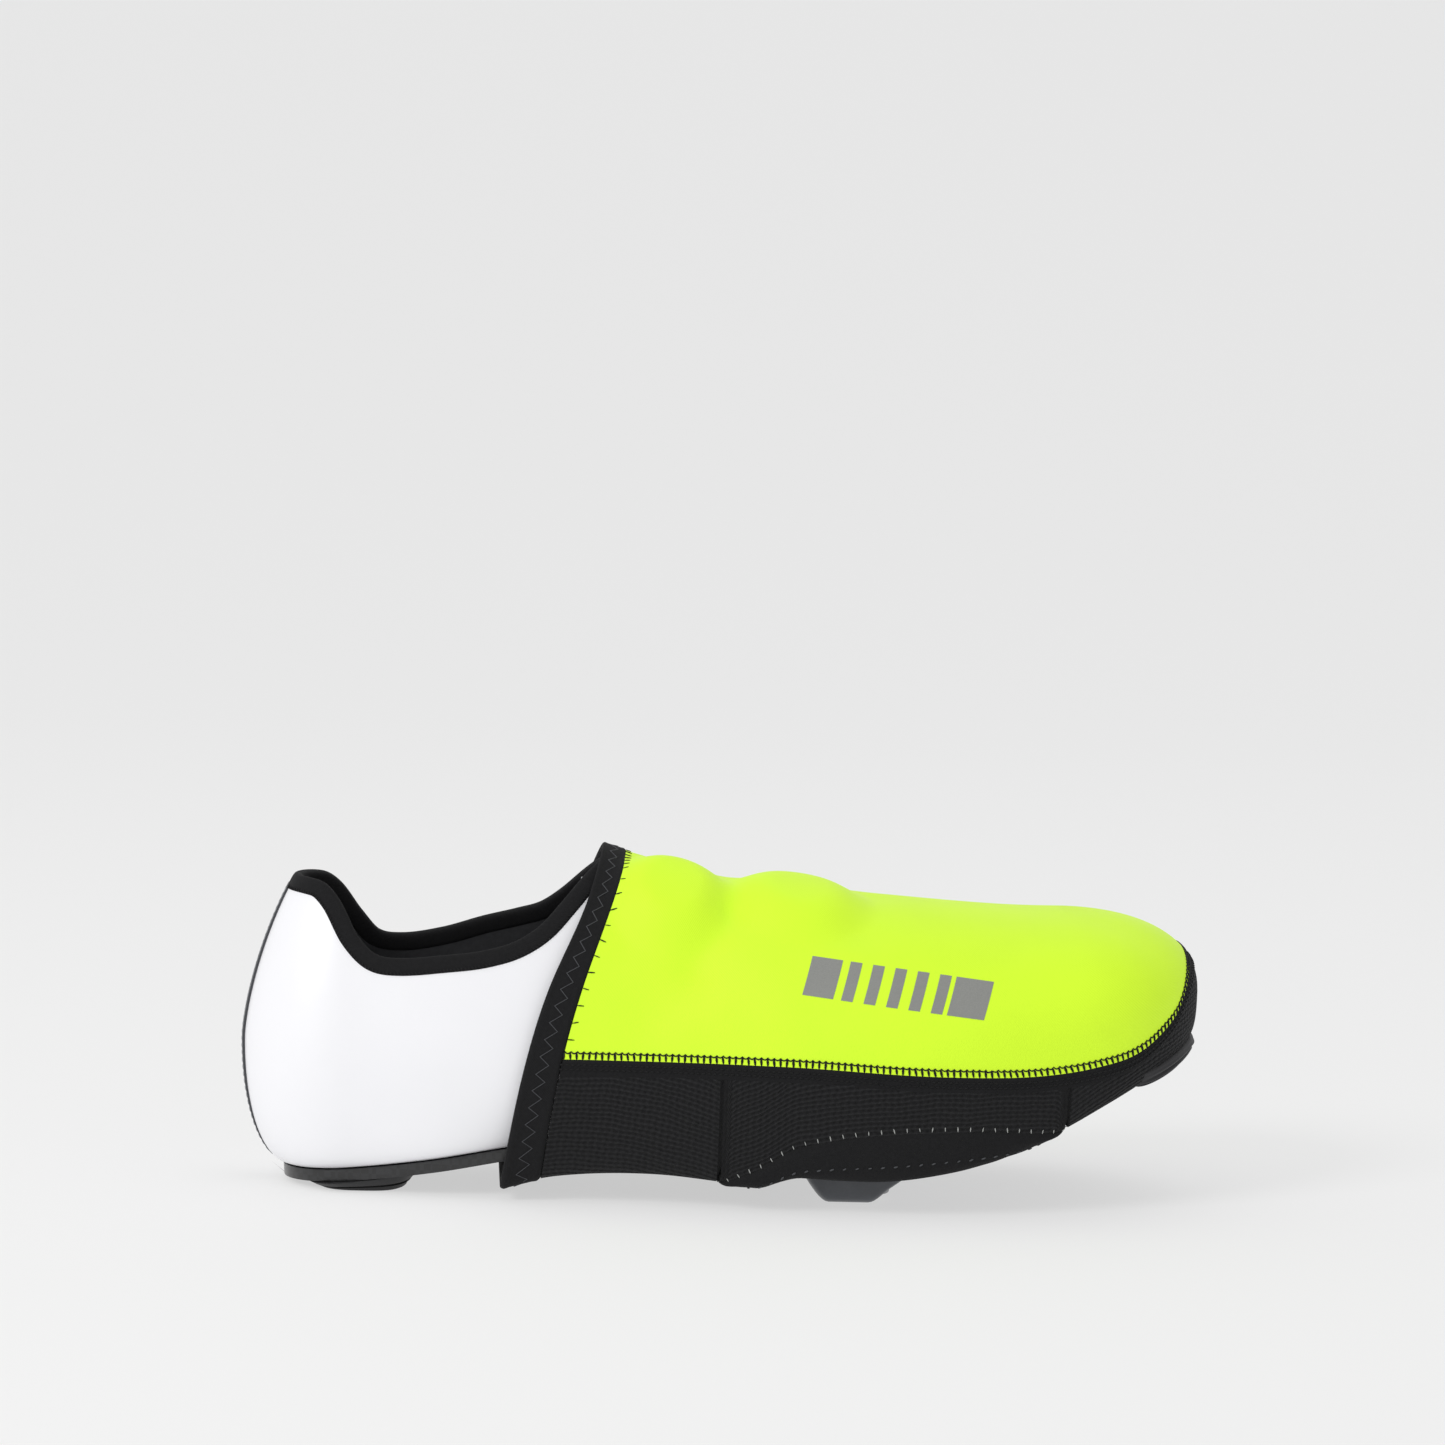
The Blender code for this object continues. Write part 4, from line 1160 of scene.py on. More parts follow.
def seam_overlock():
    """Overlock over the yellow edge: upright bars joined by scalloped links along their tops."""
    sizes = bpy.context.scene.toe_cover_sizes
    length = sizes.overlock_length
    turns = spread(lambda u: skin_point(u, seam_at_turn(u)), sizes.overlock_pitch)
    chance = random.Random(7)
    places = []
    links = []
    for turn, ahead in zip(turns, turns[1:]):
        base = seam_at_turn(turn)
        point, along, up = skin_frame(turn, moved_up(turn, base, length * 0.42))
        lean = math.radians(90 + chance.uniform(-6, 10))
        places.append(stand(point, along, up, 0.05 * MM, lean, chance.uniform(0.94, 1.06)))
        for k, drop in enumerate((0.0, 0.45, 0.60, 0.45)):
            between = turn + (ahead - turn) * k / 4
            top = moved_up(between, seam_at_turn(between), length * 0.92 - drop * MM)
            links.append(skin_point(between, top, COVER_SKIN + 0.12 * MM))
    bars = painted(repeated("overlock_bars", bead(length, 0.80 * MM, 0.70 * MM), places), black_thread())
    finished(bars, "black_knit")
    chain = painted(strand("overlock_links", links, 0.22 * MM), black_thread())
    return finished(chain, "black_knit")


def hem_girth(place):
    """Girth and side at a place round the hem: 0 and 1 are under the sole and a half is on the instep."""
    side = LATERAL if place <= 0.5 else MEDIAL
    return -2 + 3 * (1 - abs(2 * place - 1)), side


@cached
def hem_edges(place):
    girth, side = hem_girth(place)
    grow = COVER_GAP + HEM_THICKNESS
    return girth, side, hem_share(side, girth, "rear", grow), hem_share(side, girth, "front", grow)


def hem_point(place, across, lift):
    """A point of the hem. across is -1 at the rear edge and 1 at the front, lift is from the shoe."""
    girth, side, rear, front = hem_edges(place)
    at = rear + (front - rear) * (across + 1) / 2
    return cover_point(Column(at, 0), side, girth, COVER_GAP + lift)


def hem_frame(place, across, lift):
    step = 0.002
    point = hem_point(place, across, lift)
    round_it = hem_point((place + step) % 1, across, lift) - hem_point((place - step) % 1, across, lift)
    forward = hem_point(place, across + 0.05, lift) - hem_point(place, across - 0.05, lift)
    return point, round_it, forward


def hem_path(across):
    return lambda place: hem_point(min(place, 0.99999), across, HEM_THICKNESS)


def cover_rear_hem():
    """Black tape folded round the rear edge, thicker at its two rolled edges."""
    places = evened(hem_path(0), 260, 4)

    def place(u, v):
        across, high = squircle(v, 0.55)
        roll = 1 + HEM_ROLL * (math.exp(-((abs(across) - 0.80) / 0.16) ** 2) - 1)
        lift = HEM_THICKNESS * (0.5 + 0.5 * high * roll)
        return hem_point(places[round(u * 260)] % 1, across, lift)

    band = grid("cover_rear_hem", 260, 36, place, outwards)
    painted(band, black_tape())
    return finished(smooth(band, 60), "black_tape", "cover_rear_hem")


def hem_stitches():
    """Faint grey zigzag on the hem, and black thread ends over the yellow in front of it."""
    sizes = bpy.context.scene.toe_cover_sizes
    places = spread(hem_path(0), sizes.zigzag_pitch / 2)
    zigzag = []
    for k, place in enumerate(places[:-1]):
        across = -0.30 if k % 2 else 0.30
        zigzag.append(hem_point(place, across, HEM_THICKNESS - 0.28 * MM))
    finished(painted(strand("hem_zigzag", zigzag, 0.20 * MM, closed=True), grey_thread()), "black_tape")

    chance = random.Random(11)
    spikes = []
    for place in spread(hem_path(1.0), sizes.spike_pitch / 2):
        girth, side = hem_girth(place)
        high = girth > 0.72
        if girth < SEAM_GIRTHS[0] + 0.05:
            continue
        spikes.append((place, high))
    kept = [place for k, (place, high) in enumerate(spikes) if high or k % 2 == 0]
    stands = []
    for place in kept:
        point, round_it, forward = hem_frame(place, 1.16, COVER_WALL + 0.10 * MM)
        out = round_it.cross(forward)
        if out.dot(point - Vector((point.x, MIDDLE_Y, 0.05))) < 0:
            forward, round_it = forward, -round_it
        turn = math.radians(chance.uniform(-16, 16))
        stands.append(stand(point, forward, -round_it, 0.0, turn, chance.uniform(0.75, 1.15)))
    shape = bead(2.6 * MM, 0.42 * MM, 0.42 * MM, 6, 5)
    return finished(painted(repeated("hem_thread_ends", shape, stands), black_thread()), "black_tape")


def opening_line(turn, share):
    """A point's share of the length and girth on the opening's band, round it from 0 to 1."""
    angle = math.radians(360 * turn)
    side = LATERAL if turn <= 0.5 else MEDIAL
    rise = abs(math.sin(angle)) ** OPENING_SQUARENESS
    half = (OPENING_HALF_LENGTH - BAND_WIDTH * share) / SHOE_LENGTH
    girth = -2 + (OPENING_RISE + (OPENING_EDGE_RISE - OPENING_RISE) * share) * rise
    return Column(OPENING_CENTRE_AT - half * math.cos(angle), 0), side, girth


def band_point(turn, share, lift):
    """A point of the opening's band. share is 0 at the knit and 1 at the opening's edge."""
    column, side, girth = opening_line(turn % 1, share)
    return cover_point(column, side, max(girth, -2), COVER_GAP + lift)


def cleat_opening_binding():
    """Black tape round the cleat opening, lapped over the knit's edge."""
    turns = evened(lambda t: band_point(min(t, 0.99999), 0.3, BAND_THICKNESS), 320, 20)

    def place(u, v):
        across, high = squircle(v, 0.5)
        share = BAND_LAP + (1 - BAND_LAP) * (1 - across) / 2
        roll = 1 + BAND_ROLL * (math.exp(-((abs(across) - 0.82) / 0.18) ** 2) - 1)
        return band_point(turns[round(u * 320)], share, BAND_PROUD * (0.5 + 0.5 * high * roll))

    band = grid("cleat_opening_binding", 320, 36, place, outwards)
    painted(band, black_tape())
    return finished(smooth(band, 60), "black_tape", "cleat_opening_binding")


def band_stitches():
    """Zigzag dots on the band and pale thread ends on the knit above it."""
    sizes = bpy.context.scene.toe_cover_sizes
    chance = random.Random(5)

    def stands_on(share, lift, pitch, turned, jitter):
        def path(t):
            return band_point(min(t, 0.99999), share, lift)

        stands = []
        for turn in spread(path, pitch)[:-1]:
            step = 0.0015
            point = band_point(turn, share, lift)
            along = band_point(turn + step, share, lift) - band_point(turn - step, share, lift)
            inward = band_point(turn, share + 0.03, lift) - band_point(turn, share - 0.03, lift)
            out = along.cross(inward)
            if out.z > 0 or out.dot(point - Vector((point.x, MIDDLE_Y, 0.04))) < 0:
                along = -along
            angle = math.radians(turned + chance.uniform(-jitter, jitter))
            stands.append(stand(point, along, inward, 0.0, angle, chance.uniform(0.85, 1.1)))
        return stands

    dots = stands_on(0.30, BAND_PROUD - 0.38 * MM, sizes.dot_pitch, 20, 8)
    shape = bead(1.5 * MM, 0.55 * MM, 0.50 * MM, 6, 5)
    finished(painted(repeated("band_dots", shape, dots), grey_thread()), "black_tape")
    spikes = stands_on(BAND_LAP * 1.25, COVER_WALL + 0.05 * MM, sizes.dot_pitch, 90, 14)
    shape = bead(1.7 * MM, 0.34 * MM, 0.34 * MM, 6, 5)
    return finished(painted(repeated("band_thread_ends", shape, spikes), pale_thread()), "black_tape")


def bumper_height(girth):
    """Thickness of the bumper's tread, with soft flanks to its ribs."""
    high = 0.0
    for rib in BUMPER_RIBS:
        rise = 1 / (1 + math.exp(-(girth - rib.start) / RIB_FLANK))
        fall = 1 / (1 + math.exp(-(rib.end - girth) / RIB_FLANK))
        high = max(high, rib.proud * rise * fall)
    ends = min((girth - BUMPER_SPAN[0]) / BUMPER_ROUND, (BUMPER_SPAN[1] - girth) / BUMPER_ROUND, 1)
    return (BUMPER_THICKNESS + BUMPER_RIB * high) * math.sqrt(max(1 - (1 - max(ends, 0)) ** 2, 0))


def toe_bumper():
    """Ribbed rubber bumper under the toe."""
    base = COVER_SKIN - 0.2 * MM
    start, end = BUMPER_SPAN

    def place(u, v):
        sweep = BUMPER_SWEEP * (2 * u - 1)
        fan = 90 - abs(sweep)
        side = LATERAL if sweep <= 0 else MEDIAL
        outer = v <= 0.8
        girth = start + (end - start) * (v / 0.8 if outer else (1 - v) / 0.2)
        fade = min((BUMPER_SWEEP - abs(sweep)) / BUMPER_FADE, 1)
        thick = bumper_height(girth) if outer else 0
        lift = 0.2 * MM + thick * math.sqrt(max(1 - (1 - fade) ** 2, 0)) if outer else 0
        return cover_point(Column(AXIS_FRONT_AT, fan), side, -girth, base + lift)

    pad = grid("toe_bumper", 120, 260, place, close_ends, outwards)
    painted(pad, toe_rubber())
    return finished(smooth(pad, 50), "black_rubber", "toe_bumper")


def girth_at_height(side, at, height):
    """The girth at which the cover's side is height metres above the ground."""
    return crossing(lambda girth: cover_point(Column(at, 0), side, girth).z - height, -0.98, 0.6)


def reflective_print():
    """Grey reflective bars on the yellow panel's lateral side."""
    patches = []
    for mark in PRINT_MARKS:

        def place(u, v, mark=mark):
            lean = mark.slant * mark.height * (v - 0.5)
            x = PRINT_START_X + (mark.x + mark.width * (u - 0.5) + lean) * MM
            drop = math.tan(math.radians(PRINT_TILT)) * (x - PRINT_START_X)
            z = PRINT_START_Z - drop + (mark.z + mark.height * (v - 0.5)) * MM
            at = share_of(HEEL_X + x)
            girth = girth_at_height(LATERAL, at, z)
            return cover_point(Column(at, 0), LATERAL, girth, COVER_SKIN + PRINT_PROUD)

        across = max(round(mark.width / 0.8), 3)
        patch = grid("mark", across, max(round(mark.height / 0.8), 3), place)
        patches.append(patch)
    alone(patches[0])
    for patch in patches[1:]:
        patch.select_set(True)
    bpy.ops.object.join()
    ink = named(bpy.context.object, "reflective_print")
    walled(ink, 0.15 * MM, reflective_ink())
    return finished(smooth(ink, 60), "reflective_grey")


# Pieces of the shoe


def shoe_column(run):
    """Column at a run along the side of the shoe, measured from where the heel's round ends."""
    if run < 0:
        return Column(AXIS_REAR_AT, 90 * run / HEEL_RUN)
    if run <= SHOE_SIDE_RUN:
        return Column(AXIS_REAR_AT + run / SHOE_LENGTH, 0)
    return Column(AXIS_FRONT_AT, 90 * (run - SHOE_SIDE_RUN) / TOE_RUN)


@cached
def upper_top(turn):
    column, side = shoe_way(turn)
    return collar_girth(column, side)


def upper_point(turn, rise, grow=0.0):
    """A point of the upper, from -1 at the sole and 0 at the widest level to 1 at the collar line."""
    column, side = shoe_way(turn)
    girth = rise * upper_top(turn) if rise > 0 else rise
    return shoe_point(column, side, girth, grow)


def shoe_upper():
    """White microfibre upper with its dark lining."""
    turns = evened(lambda t: upper_point(t, 0.0), 420, 4)

    def place(u, v):
        return upper_point(turns[round(u * 420)], -1 + 2 * v)

    shell = grid("shoe_upper", 420, 56, place)
    walled(shell, UPPER_WALL, microfibre(), shoe_lining())
    return finished(smooth(shell, 60), "white_microfibre", "shoe_upper")


COLLAR_RUN = HEEL_RUN + (THROAT_AT - AXIS_REAR_AT) * SHOE_LENGTH


def collar_frame(place):
    """A point of the collar line from the lateral throat round the heel to the medial throat, with the
    direction up the upper."""
    share = 2 * place - 1
    side = LATERAL if share <= 0 else MEDIAL
    column = shoe_column(min(abs(share), 0.985) * COLLAR_RUN - HEEL_RUN)
    girth = collar_girth(column, side)
    point = shoe_point(column, side, girth)
    up = (shoe_point(column, side, girth + 0.01) - point).normalized()
    return point, up


def collar_places():
    """Points, tangents and outward directions round the collar, evenly spaced."""
    frames = [collar_frame(t) for t in evened(lambda t: collar_frame(t)[0], COLLAR_STEPS, 6)]
    rows = []
    for i, (point, up) in enumerate(frames):
        ahead, behind = frames[min(i + 1, COLLAR_STEPS)][0], frames[max(i - 1, 0)][0]
        along = (ahead - behind).normalized()
        up = (up - along * up.dot(along)).normalized()
        rows.append((point, along, up, up.cross(along)))
    return rows


def collar_binding():
    """Black tape folded over the collar's edge, with its row of short stitches."""
    rows = collar_places()
    half = UPPER_WALL / 2 + BINDING_PROUD
    low = -BINDING_LAP

    def place(u, v):
        point, along, up, out = rows[round(u * COLLAR_STEPS)]
        across, high = squircle(v, 0.62)
        middle = point - out * UPPER_WALL / 2
        rise = low + (BINDING_HEIGHT + FIT_GAP - low) * (high + 1) / 2
        return middle + out * half * across + up * rise

    band = grid("collar_binding", COLLAR_STEPS, 28, place, close_ends, outwards)
    painted(band, black_tape())
    finished(smooth(band, 60), "black_tape", "collar_binding")

    stands = []
    count = COLLAR_STEPS
    for i in range(3, count - 3):
        point, along, up, out = rows[i]
        spot = point + out * (BINDING_PROUD + 0.02 * MM) + up * (low + 0.9 * MM)
        stands.append(stand(spot, along, up, 0.0, math.radians(62)))
    shape = bead(1.25 * MM, 0.40 * MM, 0.34 * MM, 6, 4)
    return finished(painted(repeated("collar_stitches", shape, stands), black_thread()), "black_tape")


def heel_strip():
    """Reflective tape down the back of the heel, with a line of silver stitches along each edge."""
    half = HEEL_STRIP_WIDTH / 2
    widest = math.degrees(math.acos((half / LAST_AT["lateral"](0)) ** (PLAN_ROUNDNESS / 2)))

    def spot(across, rise, grow):
        fan = 90 - abs(across) * (90 - widest)
        side = MEDIAL if across < 0 else LATERAL
        column = Column(AXIS_REAR_AT, -fan)
        top = collar_girth(column, side)
        girth = -0.78 + (top * 0.985 + 0.78) * rise
        return shoe_point(column, side, girth, grow)

    strip = grid("heel_strip", 24, 60, lambda u, v: spot(2 * u - 1, v, HEEL_STRIP_THICKNESS))
    walled(strip, HEEL_STRIP_THICKNESS, heel_tape())
    finished(smooth(strip, 60), "reflective_grey", "heel_strip")

    stands = []
    for across in (-0.72, 0.72):
        for rise in spread(lambda t: spot(across, t, 0.0), 2.2 * MM)[1:-1]:
            grow = HEEL_STRIP_THICKNESS + 0.05 * MM
            up = spot(across, rise + 0.01, grow) - spot(across, rise - 0.01, grow)
            along = spot(across + 0.1, rise, grow) - spot(across - 0.1, rise, grow)
            stands.append(stand(spot(across, rise, grow), up, -along))
    shape = bead(1.8 * MM, 0.45 * MM, 0.40 * MM, 6, 4)
    stitches = painted(repeated("heel_strip_stitches", shape, stands), silver_thread())
    return finished(stitches, "reflective_grey")


def tongue():
    """Padded silver tongue that lies under the throat."""
    inside = -(UPPER_WALL + TONGUE_GAP)

    def place(u, v):
        at = TONGUE_REAR_AT + (TONGUE_FRONT_AT - TONGUE_REAR_AT) * (1 - u)
        across = 2 * v - 1
        side = LATERAL if across < 0 else MEDIAL
        column = Column(max(at, THROAT_AT), 0)
        point = shoe_point(column, side, 1 - (1 - TONGUE_EDGE) * abs(across), inside)
        shift = x_of(at) - x_of(column.at)
        return point + Vector((shift, 0, shift * TONGUE_TILT))

    pad = grid("tongue", 60, 48, place, outwards)
    walled(pad, TONGUE_THICKNESS, silver_cloth())
    return finished(smooth(pad, 60), "silver_textile", "tongue")


def sole_place(u, across, inset, lift):
    """A point over the sole's outline: u from heel to toe, across from -1 lateral to 1 medial."""
    run = -HEEL_RUN + u * (HEEL_RUN + SHOE_SIDE_RUN + TOE_RUN)
    column = shoe_column(run)
    ends = []
    for side in (LATERAL, MEDIAL):
        axis, wide = outline(column, side, 0.0)
        ends.append(wide + (axis - wide).normalized() * (LAST_AT["tuck"](share_of(wide.x)) + inset))
    point = ends[0].lerp(ends[1], (across + 1) / 2)
    point.z = LAST_AT["feather"](share_of(point.x)) + lift
    return point


def sole_plate():
    """Stiff moulded sole with rounded edges."""

    def place(u, v):
        return sole_place(u, 2 * v - 1, -SOLE_MARGIN, -FIT_GAP)

    plate = grid("sole_plate", 200, 30, place, dissolve_slivers)
    walled(plate, SOLE_THICKNESS, carbon_composite())
    modified(plate, "BEVEL", width=SOLE_EDGE, segments=3, limit_method="ANGLE", angle_limit=math.radians(55))
    return finished(smooth(plate, 40), "black_composite", "sole_plate")


def insole():
    """Fabric-topped foam insole, dished a little from its edge."""

    def place(u, v):
        across = 2 * v - 1
        dish = INSOLE_DISH * (1 - across * across) * min(4 * u * (1 - u), 1)
        return sole_place(u, across, INSOLE_INSET, INSOLE_THICKNESS - dish)

    board = grid("insole", 160, 24, place, dissolve_slivers)
    walled(board, INSOLE_THICKNESS - INSOLE_DISH - FIT_GAP, footbed())
    return finished(smooth(board, 40), "grey_foam", "insole")


def heel_pad():
    """Rubber heel block: a slanted wall with a foot line, two grooves and a rounded lower edge."""
    centre = x_of(0) + HEEL_PAD_START + HEEL_PAD_LENGTH / 2
    seat = sole_bottom(centre) - FIT_GAP
    profile = [
        (HEEL_PAD_DRAFT + HEEL_PAD_EDGE, 0.0),
        (HEEL_PAD_DRAFT + HEEL_PAD_EDGE * 0.35, HEEL_PAD_EDGE * 0.2),
        (HEEL_PAD_DRAFT, HEEL_PAD_EDGE),
        (HEEL_PAD_DRAFT * 0.72, seat * 0.34),
        (HEEL_PAD_DRAFT * 0.95, seat * 0.37),
        (HEEL_PAD_DRAFT * 0.92, seat * 0.46),
        (HEEL_PAD_DRAFT * 0.52, seat * 0.49),
        (HEEL_PAD_DRAFT * 0.20, seat * 0.80),
        (0.0, seat),
    ]

    def place(u, v):
        inset, height = profile[round(v * (len(profile) - 1))]
        along, across = squircle(u, HEEL_PAD_SQUARENESS)
        x = centre + (HEEL_PAD_LENGTH / 2 - inset) * along
        y = MIDDLE_Y + (HEEL_PAD_WIDTH / 2 - inset) * across
        slope = (sole_bottom(x) - FIT_GAP - seat) * height / seat
        return Vector((x, y, height + slope))

    pad = grid("heel_pad", 120, len(profile) - 1, place, close_ends, outwards)
    modified(pad, "BEVEL", width=0.25 * MM, segments=2, limit_method="ANGLE", angle_limit=math.radians(35))
    painted(pad, heel_rubber())
    return finished(smooth(pad, 40), "black_rubber", "heel_pad")


def bolt_places():
    """Each bolt's name, its point on the cleat's underside and its turn square to the sole."""
    for name, along, across in BOLTS:
        x = x_of(CLEAT_START_AT) + along * CLEAT_LENGTH
        rise = sole_bottom(x + BOLT_HEAD_RADIUS) - sole_bottom(x - BOLT_HEAD_RADIUS)
        turn = Matrix.Rotation(-math.atan(rise / (2 * BOLT_HEAD_RADIUS)), 4, "Y")
        point = Vector((x, MIDDLE_Y + across * CLEAT_WIDTH, CLEAT_AT["under"](along)))
        yield name, point, turn


def cylinder(name, sides, radius, depth, centre, turn):
    """A cylinder with its place in its mesh."""
    bpy.ops.object.select_all(action="DESELECT")
    bpy.ops.mesh.primitive_cylinder_add(vertices=sides, radius=radius, depth=depth)
    obj = named(bpy.context.object, name)
    obj.data.transform(Matrix.Translation(centre) @ turn)
    return obj


def cut(obj, cutter):
    modified(obj, "BOOLEAN", operation="DIFFERENCE", object=cutter)
    bpy.data.objects.remove(cutter)
    return obj


def cleat():
    """Nylon cleat with rounded edges and a recess for each bolt."""
    start = x_of(CLEAT_START_AT)

    def place(u, v):
        x = start + u * CLEAT_LENGTH
        half, under, over = CLEAT_AT["half_width"](u), CLEAT_AT["under"](u), sole_bottom(x) - FIT_GAP
        across, high = squircle(v + 0.125, 0.34)
        return Vector((x, MIDDLE_Y + half * across, (under + over) / 2 + (over - under) / 2 * high))

    block = grid("cleat", 72, 64, place, close_ends, outwards)
    for name, point, turn in bolt_places():
        centre = point - turn @ Vector((0, 0, CLEAT_LENGTH / 4 - BOLT_RECESS))
        cut(block, cylinder("recess", 40, BOLT_HEAD_RADIUS + BOLT_CLEARANCE, CLEAT_LENGTH / 2, centre, turn))
    painted(block, cleat_nylon())
    return finished(smooth(block, 35), "grey_nylon", "cleat")


def cleat_bolts():
    """Button heads with hexagon sockets."""
    for name, point, turn in bolt_places():
        centre = point + turn @ Vector((0, 0, BOLT_RECESS - FIT_GAP - BOLT_HEAD_HEIGHT / 2))
        head = cylinder(name + "_head", 40, BOLT_HEAD_RADIUS, BOLT_HEAD_HEIGHT, centre, turn)
        rim = {"limit_method": "ANGLE", "angle_limit": math.radians(60)}
        modified(head, "BEVEL", width=0.8 * MM, segments=4, **rim)
        socket = centre - turn @ Vector((0, 0, BOLT_HEAD_HEIGHT / 2))
        cut(head, cylinder("socket", 6, BOLT_SOCKET_RADIUS, BOLT_HEAD_HEIGHT, socket, turn))
        painted(head, plated_steel())
        finished(smooth(head, 35), "steel", name)


def closure_dials():
    """The two dials keep their solids, which the cover hides, and get their finish."""
    for name in ("closure_dial_rear", "closure_dial_front"):
        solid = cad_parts[name]
        solid.data.materials.clear()
        solid.data.materials.append(carbon_composite())


# Stage

CAMERA_TURN = math.radians(-4.0)
CAMERA_RISE = math.radians(8.5)
CAMERA_ROLL = math.radians(1.92)
CAMERA_DISTANCE = 1.226
FLOOR_REACH = 14.0
FLOOR_TURN = 1.6
FLOOR_RADIUS = 1.6
CAMERA_AIM = Vector((HEEL_X + 0.51 * SHOE_LENGTH, 0, 0.05))


def floor_paint():
    """Pale matt studio paper, lit through from behind so that it stays even."""
    material, tree, shader = new_material("studio_paper", linear("9C9C9C"), 0.95, Emission_Strength=0.56)
    shader.inputs["Specular IOR Level"].default_value = 0.05
    shader.inputs["Emission Color"].default_value = (1, 1, 1, 1)
    return material


def stage_floor():
    """A seamless paper floor that turns up into a wall far behind the shoe."""

    def place(u, v):
        run = FLOOR_REACH * v - FLOOR_REACH / 2
        past = min(max((run - FLOOR_TURN) / FLOOR_RADIUS, 0), math.pi / 2)
        rise = max(run - FLOOR_TURN - FLOOR_RADIUS * math.pi / 2, 0)
        y = min(run, FLOOR_TURN) + FLOOR_RADIUS * math.sin(past)
        return Vector(((u - 0.5) * FLOOR_REACH, y, FLOOR_RADIUS * (1 - math.cos(past)) + rise))

    floor = grid("studio_floor", 2, 160, place)
    painted(floor, floor_paint())
    floor.data.shade_smooth()
    floor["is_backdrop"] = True


def area_light(name, place, size, power, colour=(1, 1, 1)):
    light = bpy.data.lights.new(name, "AREA")
    light.shape = "DISK"
    light.size = size
    light.energy = power
    light.color = colour
    lamp = bpy.data.objects.new(name, light)
    lamp.location = place
    lamp.visible_camera = False
    lamp.rotation_euler = (CAMERA_AIM - lamp.location).to_track_quat("-Z", "Y").to_euler()
    bpy.context.scene.collection.objects.link(lamp)


def stage_lights():
    area_light("key_light", Vector((-1.25, -1.2, 1.15)), 0.7, 16)
    area_light("fill_light", Vector((1.2, -1.2, 0.9)), 1.4, 1.5)
    area_light("top_light", Vector((0.2, 0.4, 1.8)), 1.2, 3)
    world = bpy.data.worlds.new("studio")
    world.use_nodes = True
    world.node_tree.nodes["Background"].inputs["Color"].default_value = (1, 1, 1, 1)
    world.node_tree.nodes["Background"].inputs["Strength"].default_value = 0.58
    bpy.context.scene.world = world
    bpy.context.scene.view_settings.view_transform = "Standard"


def stage_camera():
    lens = bpy.data.cameras.new("camera")
    lens.lens = 100
    lens.sensor_width = 36
    lens.shift_x = -0.004
    lens.shift_y = 0.209
    back = Vector(
        (
            math.sin(CAMERA_TURN) * math.cos(CAMERA_RISE),
            -math.cos(CAMERA_TURN) * math.cos(CAMERA_RISE),
            math.sin(CAMERA_RISE),
        )
    )
    camera = bpy.data.objects.new("camera", lens)
    turn = back.to_track_quat("Z", "Y").to_matrix().to_4x4() @ Matrix.Rotation(CAMERA_ROLL, 4, "Z")
    camera.matrix_world = Matrix.Translation(CAMERA_AIM + back * CAMERA_DISTANCE) @ turn
    bpy.context.scene.collection.objects.link(camera)
    bpy.context.scene.camera = camera


# The add-on


class ToeCoverSizes(bpy.types.PropertyGroup):
    """Sizes of the stitches."""

    overlock_pitch: FloatProperty(
        name="Overlock pitch", description="Distance between two of its bars", default=0.0019, unit="LENGTH"
    )
    overlock_length: FloatProperty(
        name="Overlock width", description="Length of a bar across the seam", default=0.0026, unit="LENGTH"
    )
    seam_pitch: FloatProperty(
        name="Seam stitch", description="Length of a stitch under the seam", default=0.0017, unit="LENGTH"
    )
    zigzag_pitch: FloatProperty(
        name="Hem zigzag", description="Length of one zigzag on the rear hem", default=0.0052, unit="LENGTH"
    )
    spike_pitch: FloatProperty(
        name="Thread ends", description="Distance between two thread ends", default=0.0053, unit="LENGTH"
    )
    dot_pitch: FloatProperty(
        name="Opening stitch", description="Distance between two stitches", default=0.0038, unit="LENGTH"
    )


class ToeCoverColours(bpy.types.PropertyGroup):
    """Main colours, linear."""

    neoprene: FloatVectorProperty(
        name="Neoprene", description="Top panel", default=linear("D0FA20"), size=4, subtype="COLOR"
    )
    knit: FloatVectorProperty(
        name="Knit", description="Lower panel", default=linear("1C1C1D"), size=4, subtype="COLOR"
    )
    tape: FloatVectorProperty(
        name="Tape", description="Hem and bindings", default=linear("171718"), size=4, subtype="COLOR"
    )
    upper: FloatVectorProperty(
        name="Upper", description="Microfibre of the shoe", default=linear("F5F5F8"), size=4, subtype="COLOR"
    )


class ToeCoverOperator:
    """What the operators of this add-on share."""

    bl_options = {"REGISTER", "UNDO"}
    makes = ()

    def execute(self, context):
        for make in self.makes:
            make()
        return {"FINISHED"}


class OBJECT_OT_toe_cover_stage(ToeCoverOperator, bpy.types.Operator):
    """Add the floor, the lights and the camera"""

    bl_idname = "object.toe_cover_stage"
    bl_label = "Stage"
    makes = (stage_floor, stage_lights, stage_camera)


class OBJECT_OT_toe_cover_top_panel(ToeCoverOperator, bpy.types.Operator):
    """Add the yellow neoprene panel"""

    bl_idname = "object.toe_cover_top_panel"
    bl_label = "Top panel"
    makes = (cover_top_panel,)


class OBJECT_OT_toe_cover_lower_panel(ToeCoverOperator, bpy.types.Operator):
    """Add the knit panel"""

    bl_idname = "object.toe_cover_lower_panel"
    bl_label = "Lower panel"
    makes = (cover_lower_panel,)


class OBJECT_OT_toe_cover_seam(ToeCoverOperator, bpy.types.Operator):
    """Add the seam's tape, stitches and overlock"""

    bl_idname = "object.toe_cover_seam"
    bl_label = "Seam"
    makes = (seam_tape, seam_overlock)


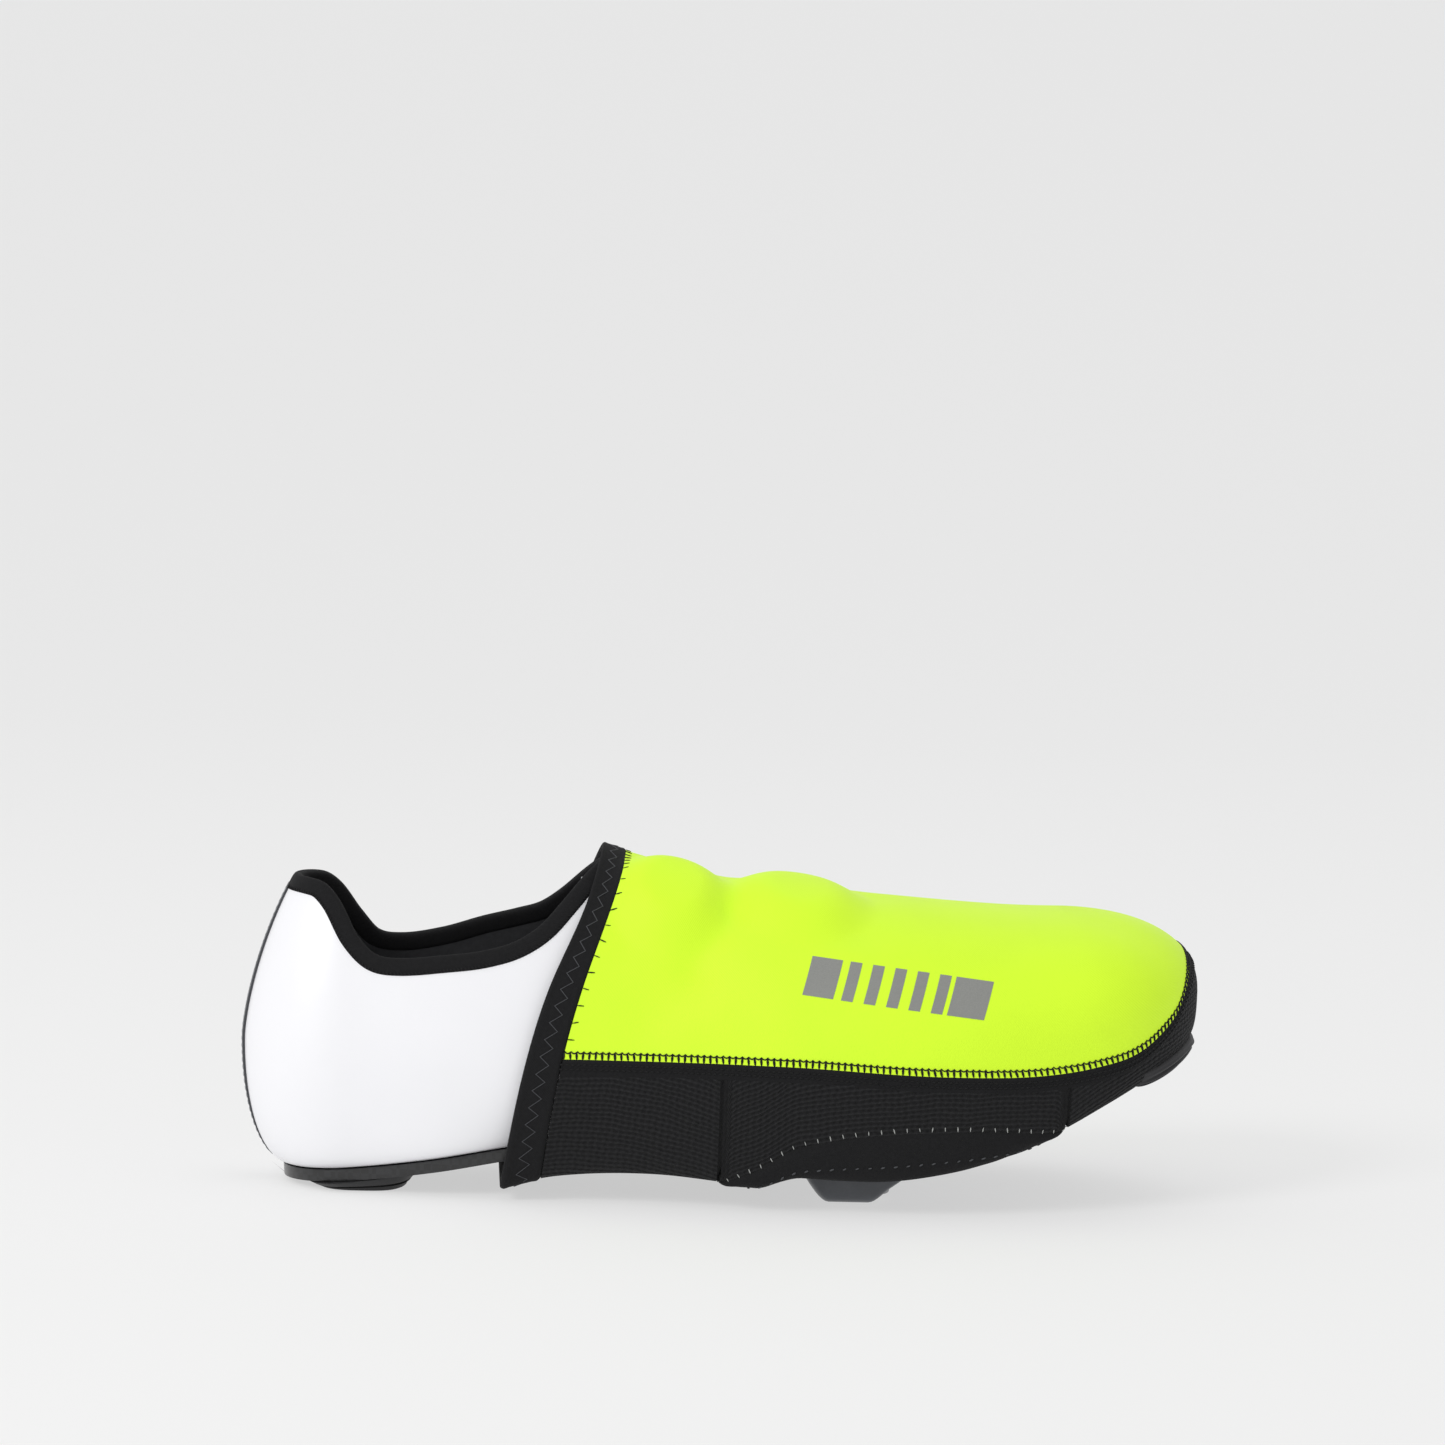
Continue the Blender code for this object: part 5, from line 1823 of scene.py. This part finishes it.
class OBJECT_OT_toe_cover_rear_hem(ToeCoverOperator, bpy.types.Operator):
    """Add the rear hem and its stitches"""

    bl_idname = "object.toe_cover_rear_hem"
    bl_label = "Rear hem"
    makes = (cover_rear_hem, hem_stitches)


class OBJECT_OT_toe_cover_opening(ToeCoverOperator, bpy.types.Operator):
    """Add the binding of the cleat opening and its stitches"""

    bl_idname = "object.toe_cover_opening"
    bl_label = "Cleat opening"
    makes = (cleat_opening_binding, band_stitches)


class OBJECT_OT_toe_cover_bumper(ToeCoverOperator, bpy.types.Operator):
    """Add the ribbed toe bumper"""

    bl_idname = "object.toe_cover_bumper"
    bl_label = "Toe bumper"
    makes = (toe_bumper,)


class OBJECT_OT_toe_cover_print(ToeCoverOperator, bpy.types.Operator):
    """Add the reflective marks on the yellow panel"""

    bl_idname = "object.toe_cover_print"
    bl_label = "Reflective marks"
    makes = (reflective_print,)


class OBJECT_OT_toe_cover_upper(ToeCoverOperator, bpy.types.Operator):
    """Add the shoe's upper"""

    bl_idname = "object.toe_cover_upper"
    bl_label = "Upper"
    makes = (shoe_upper,)


class OBJECT_OT_toe_cover_collar(ToeCoverOperator, bpy.types.Operator):
    """Add the collar's binding, the heel strip and the tongue"""

    bl_idname = "object.toe_cover_collar"
    bl_label = "Collar and tongue"
    makes = (collar_binding, heel_strip, tongue)


class OBJECT_OT_toe_cover_sole(ToeCoverOperator, bpy.types.Operator):
    """Add the sole, the insole and the heel pad"""

    bl_idname = "object.toe_cover_sole"
    bl_label = "Sole"
    makes = (sole_plate, insole, heel_pad)


class OBJECT_OT_toe_cover_cleat(ToeCoverOperator, bpy.types.Operator):
    """Add the cleat and its bolts, and finish the closure dials"""

    bl_idname = "object.toe_cover_cleat"
    bl_label = "Cleat"
    makes = (cleat, cleat_bolts, closure_dials)


OPERATORS = (
    OBJECT_OT_toe_cover_stage,
    OBJECT_OT_toe_cover_upper,
    OBJECT_OT_toe_cover_collar,
    OBJECT_OT_toe_cover_sole,
    OBJECT_OT_toe_cover_cleat,
    OBJECT_OT_toe_cover_top_panel,
    OBJECT_OT_toe_cover_lower_panel,
    OBJECT_OT_toe_cover_seam,
    OBJECT_OT_toe_cover_rear_hem,
    OBJECT_OT_toe_cover_opening,
    OBJECT_OT_toe_cover_bumper,
    OBJECT_OT_toe_cover_print,
)


class VIEW3D_PT_toe_cover(bpy.types.Panel):
    """Sidebar panel with the sizes, the colours and the pieces"""

    bl_idname = "VIEW3D_PT_toe_cover"
    bl_label = "Toe Cover"
    bl_space_type = "VIEW_3D"
    bl_region_type = "UI"
    bl_category = "Toe Cover"

    def draw(self, context):
        for group in (context.scene.toe_cover_sizes, context.scene.toe_cover_colours):
            for name in group.__annotations__:
                self.layout.prop(group, name)
        for operator in OPERATORS:
            self.layout.operator(operator.bl_idname)


CLASSES = (ToeCoverSizes, ToeCoverColours, *OPERATORS, VIEW3D_PT_toe_cover)


def register():
    for kind in CLASSES:
        bpy.utils.register_class(kind)
    bpy.types.Scene.toe_cover_sizes = PointerProperty(type=ToeCoverSizes)
    bpy.types.Scene.toe_cover_colours = PointerProperty(type=ToeCoverColours)


def unregister():
    del bpy.types.Scene.toe_cover_colours
    del bpy.types.Scene.toe_cover_sizes
    for kind in reversed(CLASSES):
        bpy.utils.unregister_class(kind)


def main():
    register()
    for operator in OPERATORS:
        group, name = operator.bl_idname.split(".")
        getattr(getattr(bpy.ops, group), name)()
    boxes = {"cad": CAD_BOX, "visual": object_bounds()}
    {name: [list(corner) for corner in box] for name, box in boxes.items()}


if __name__ == "__main__":
    main()
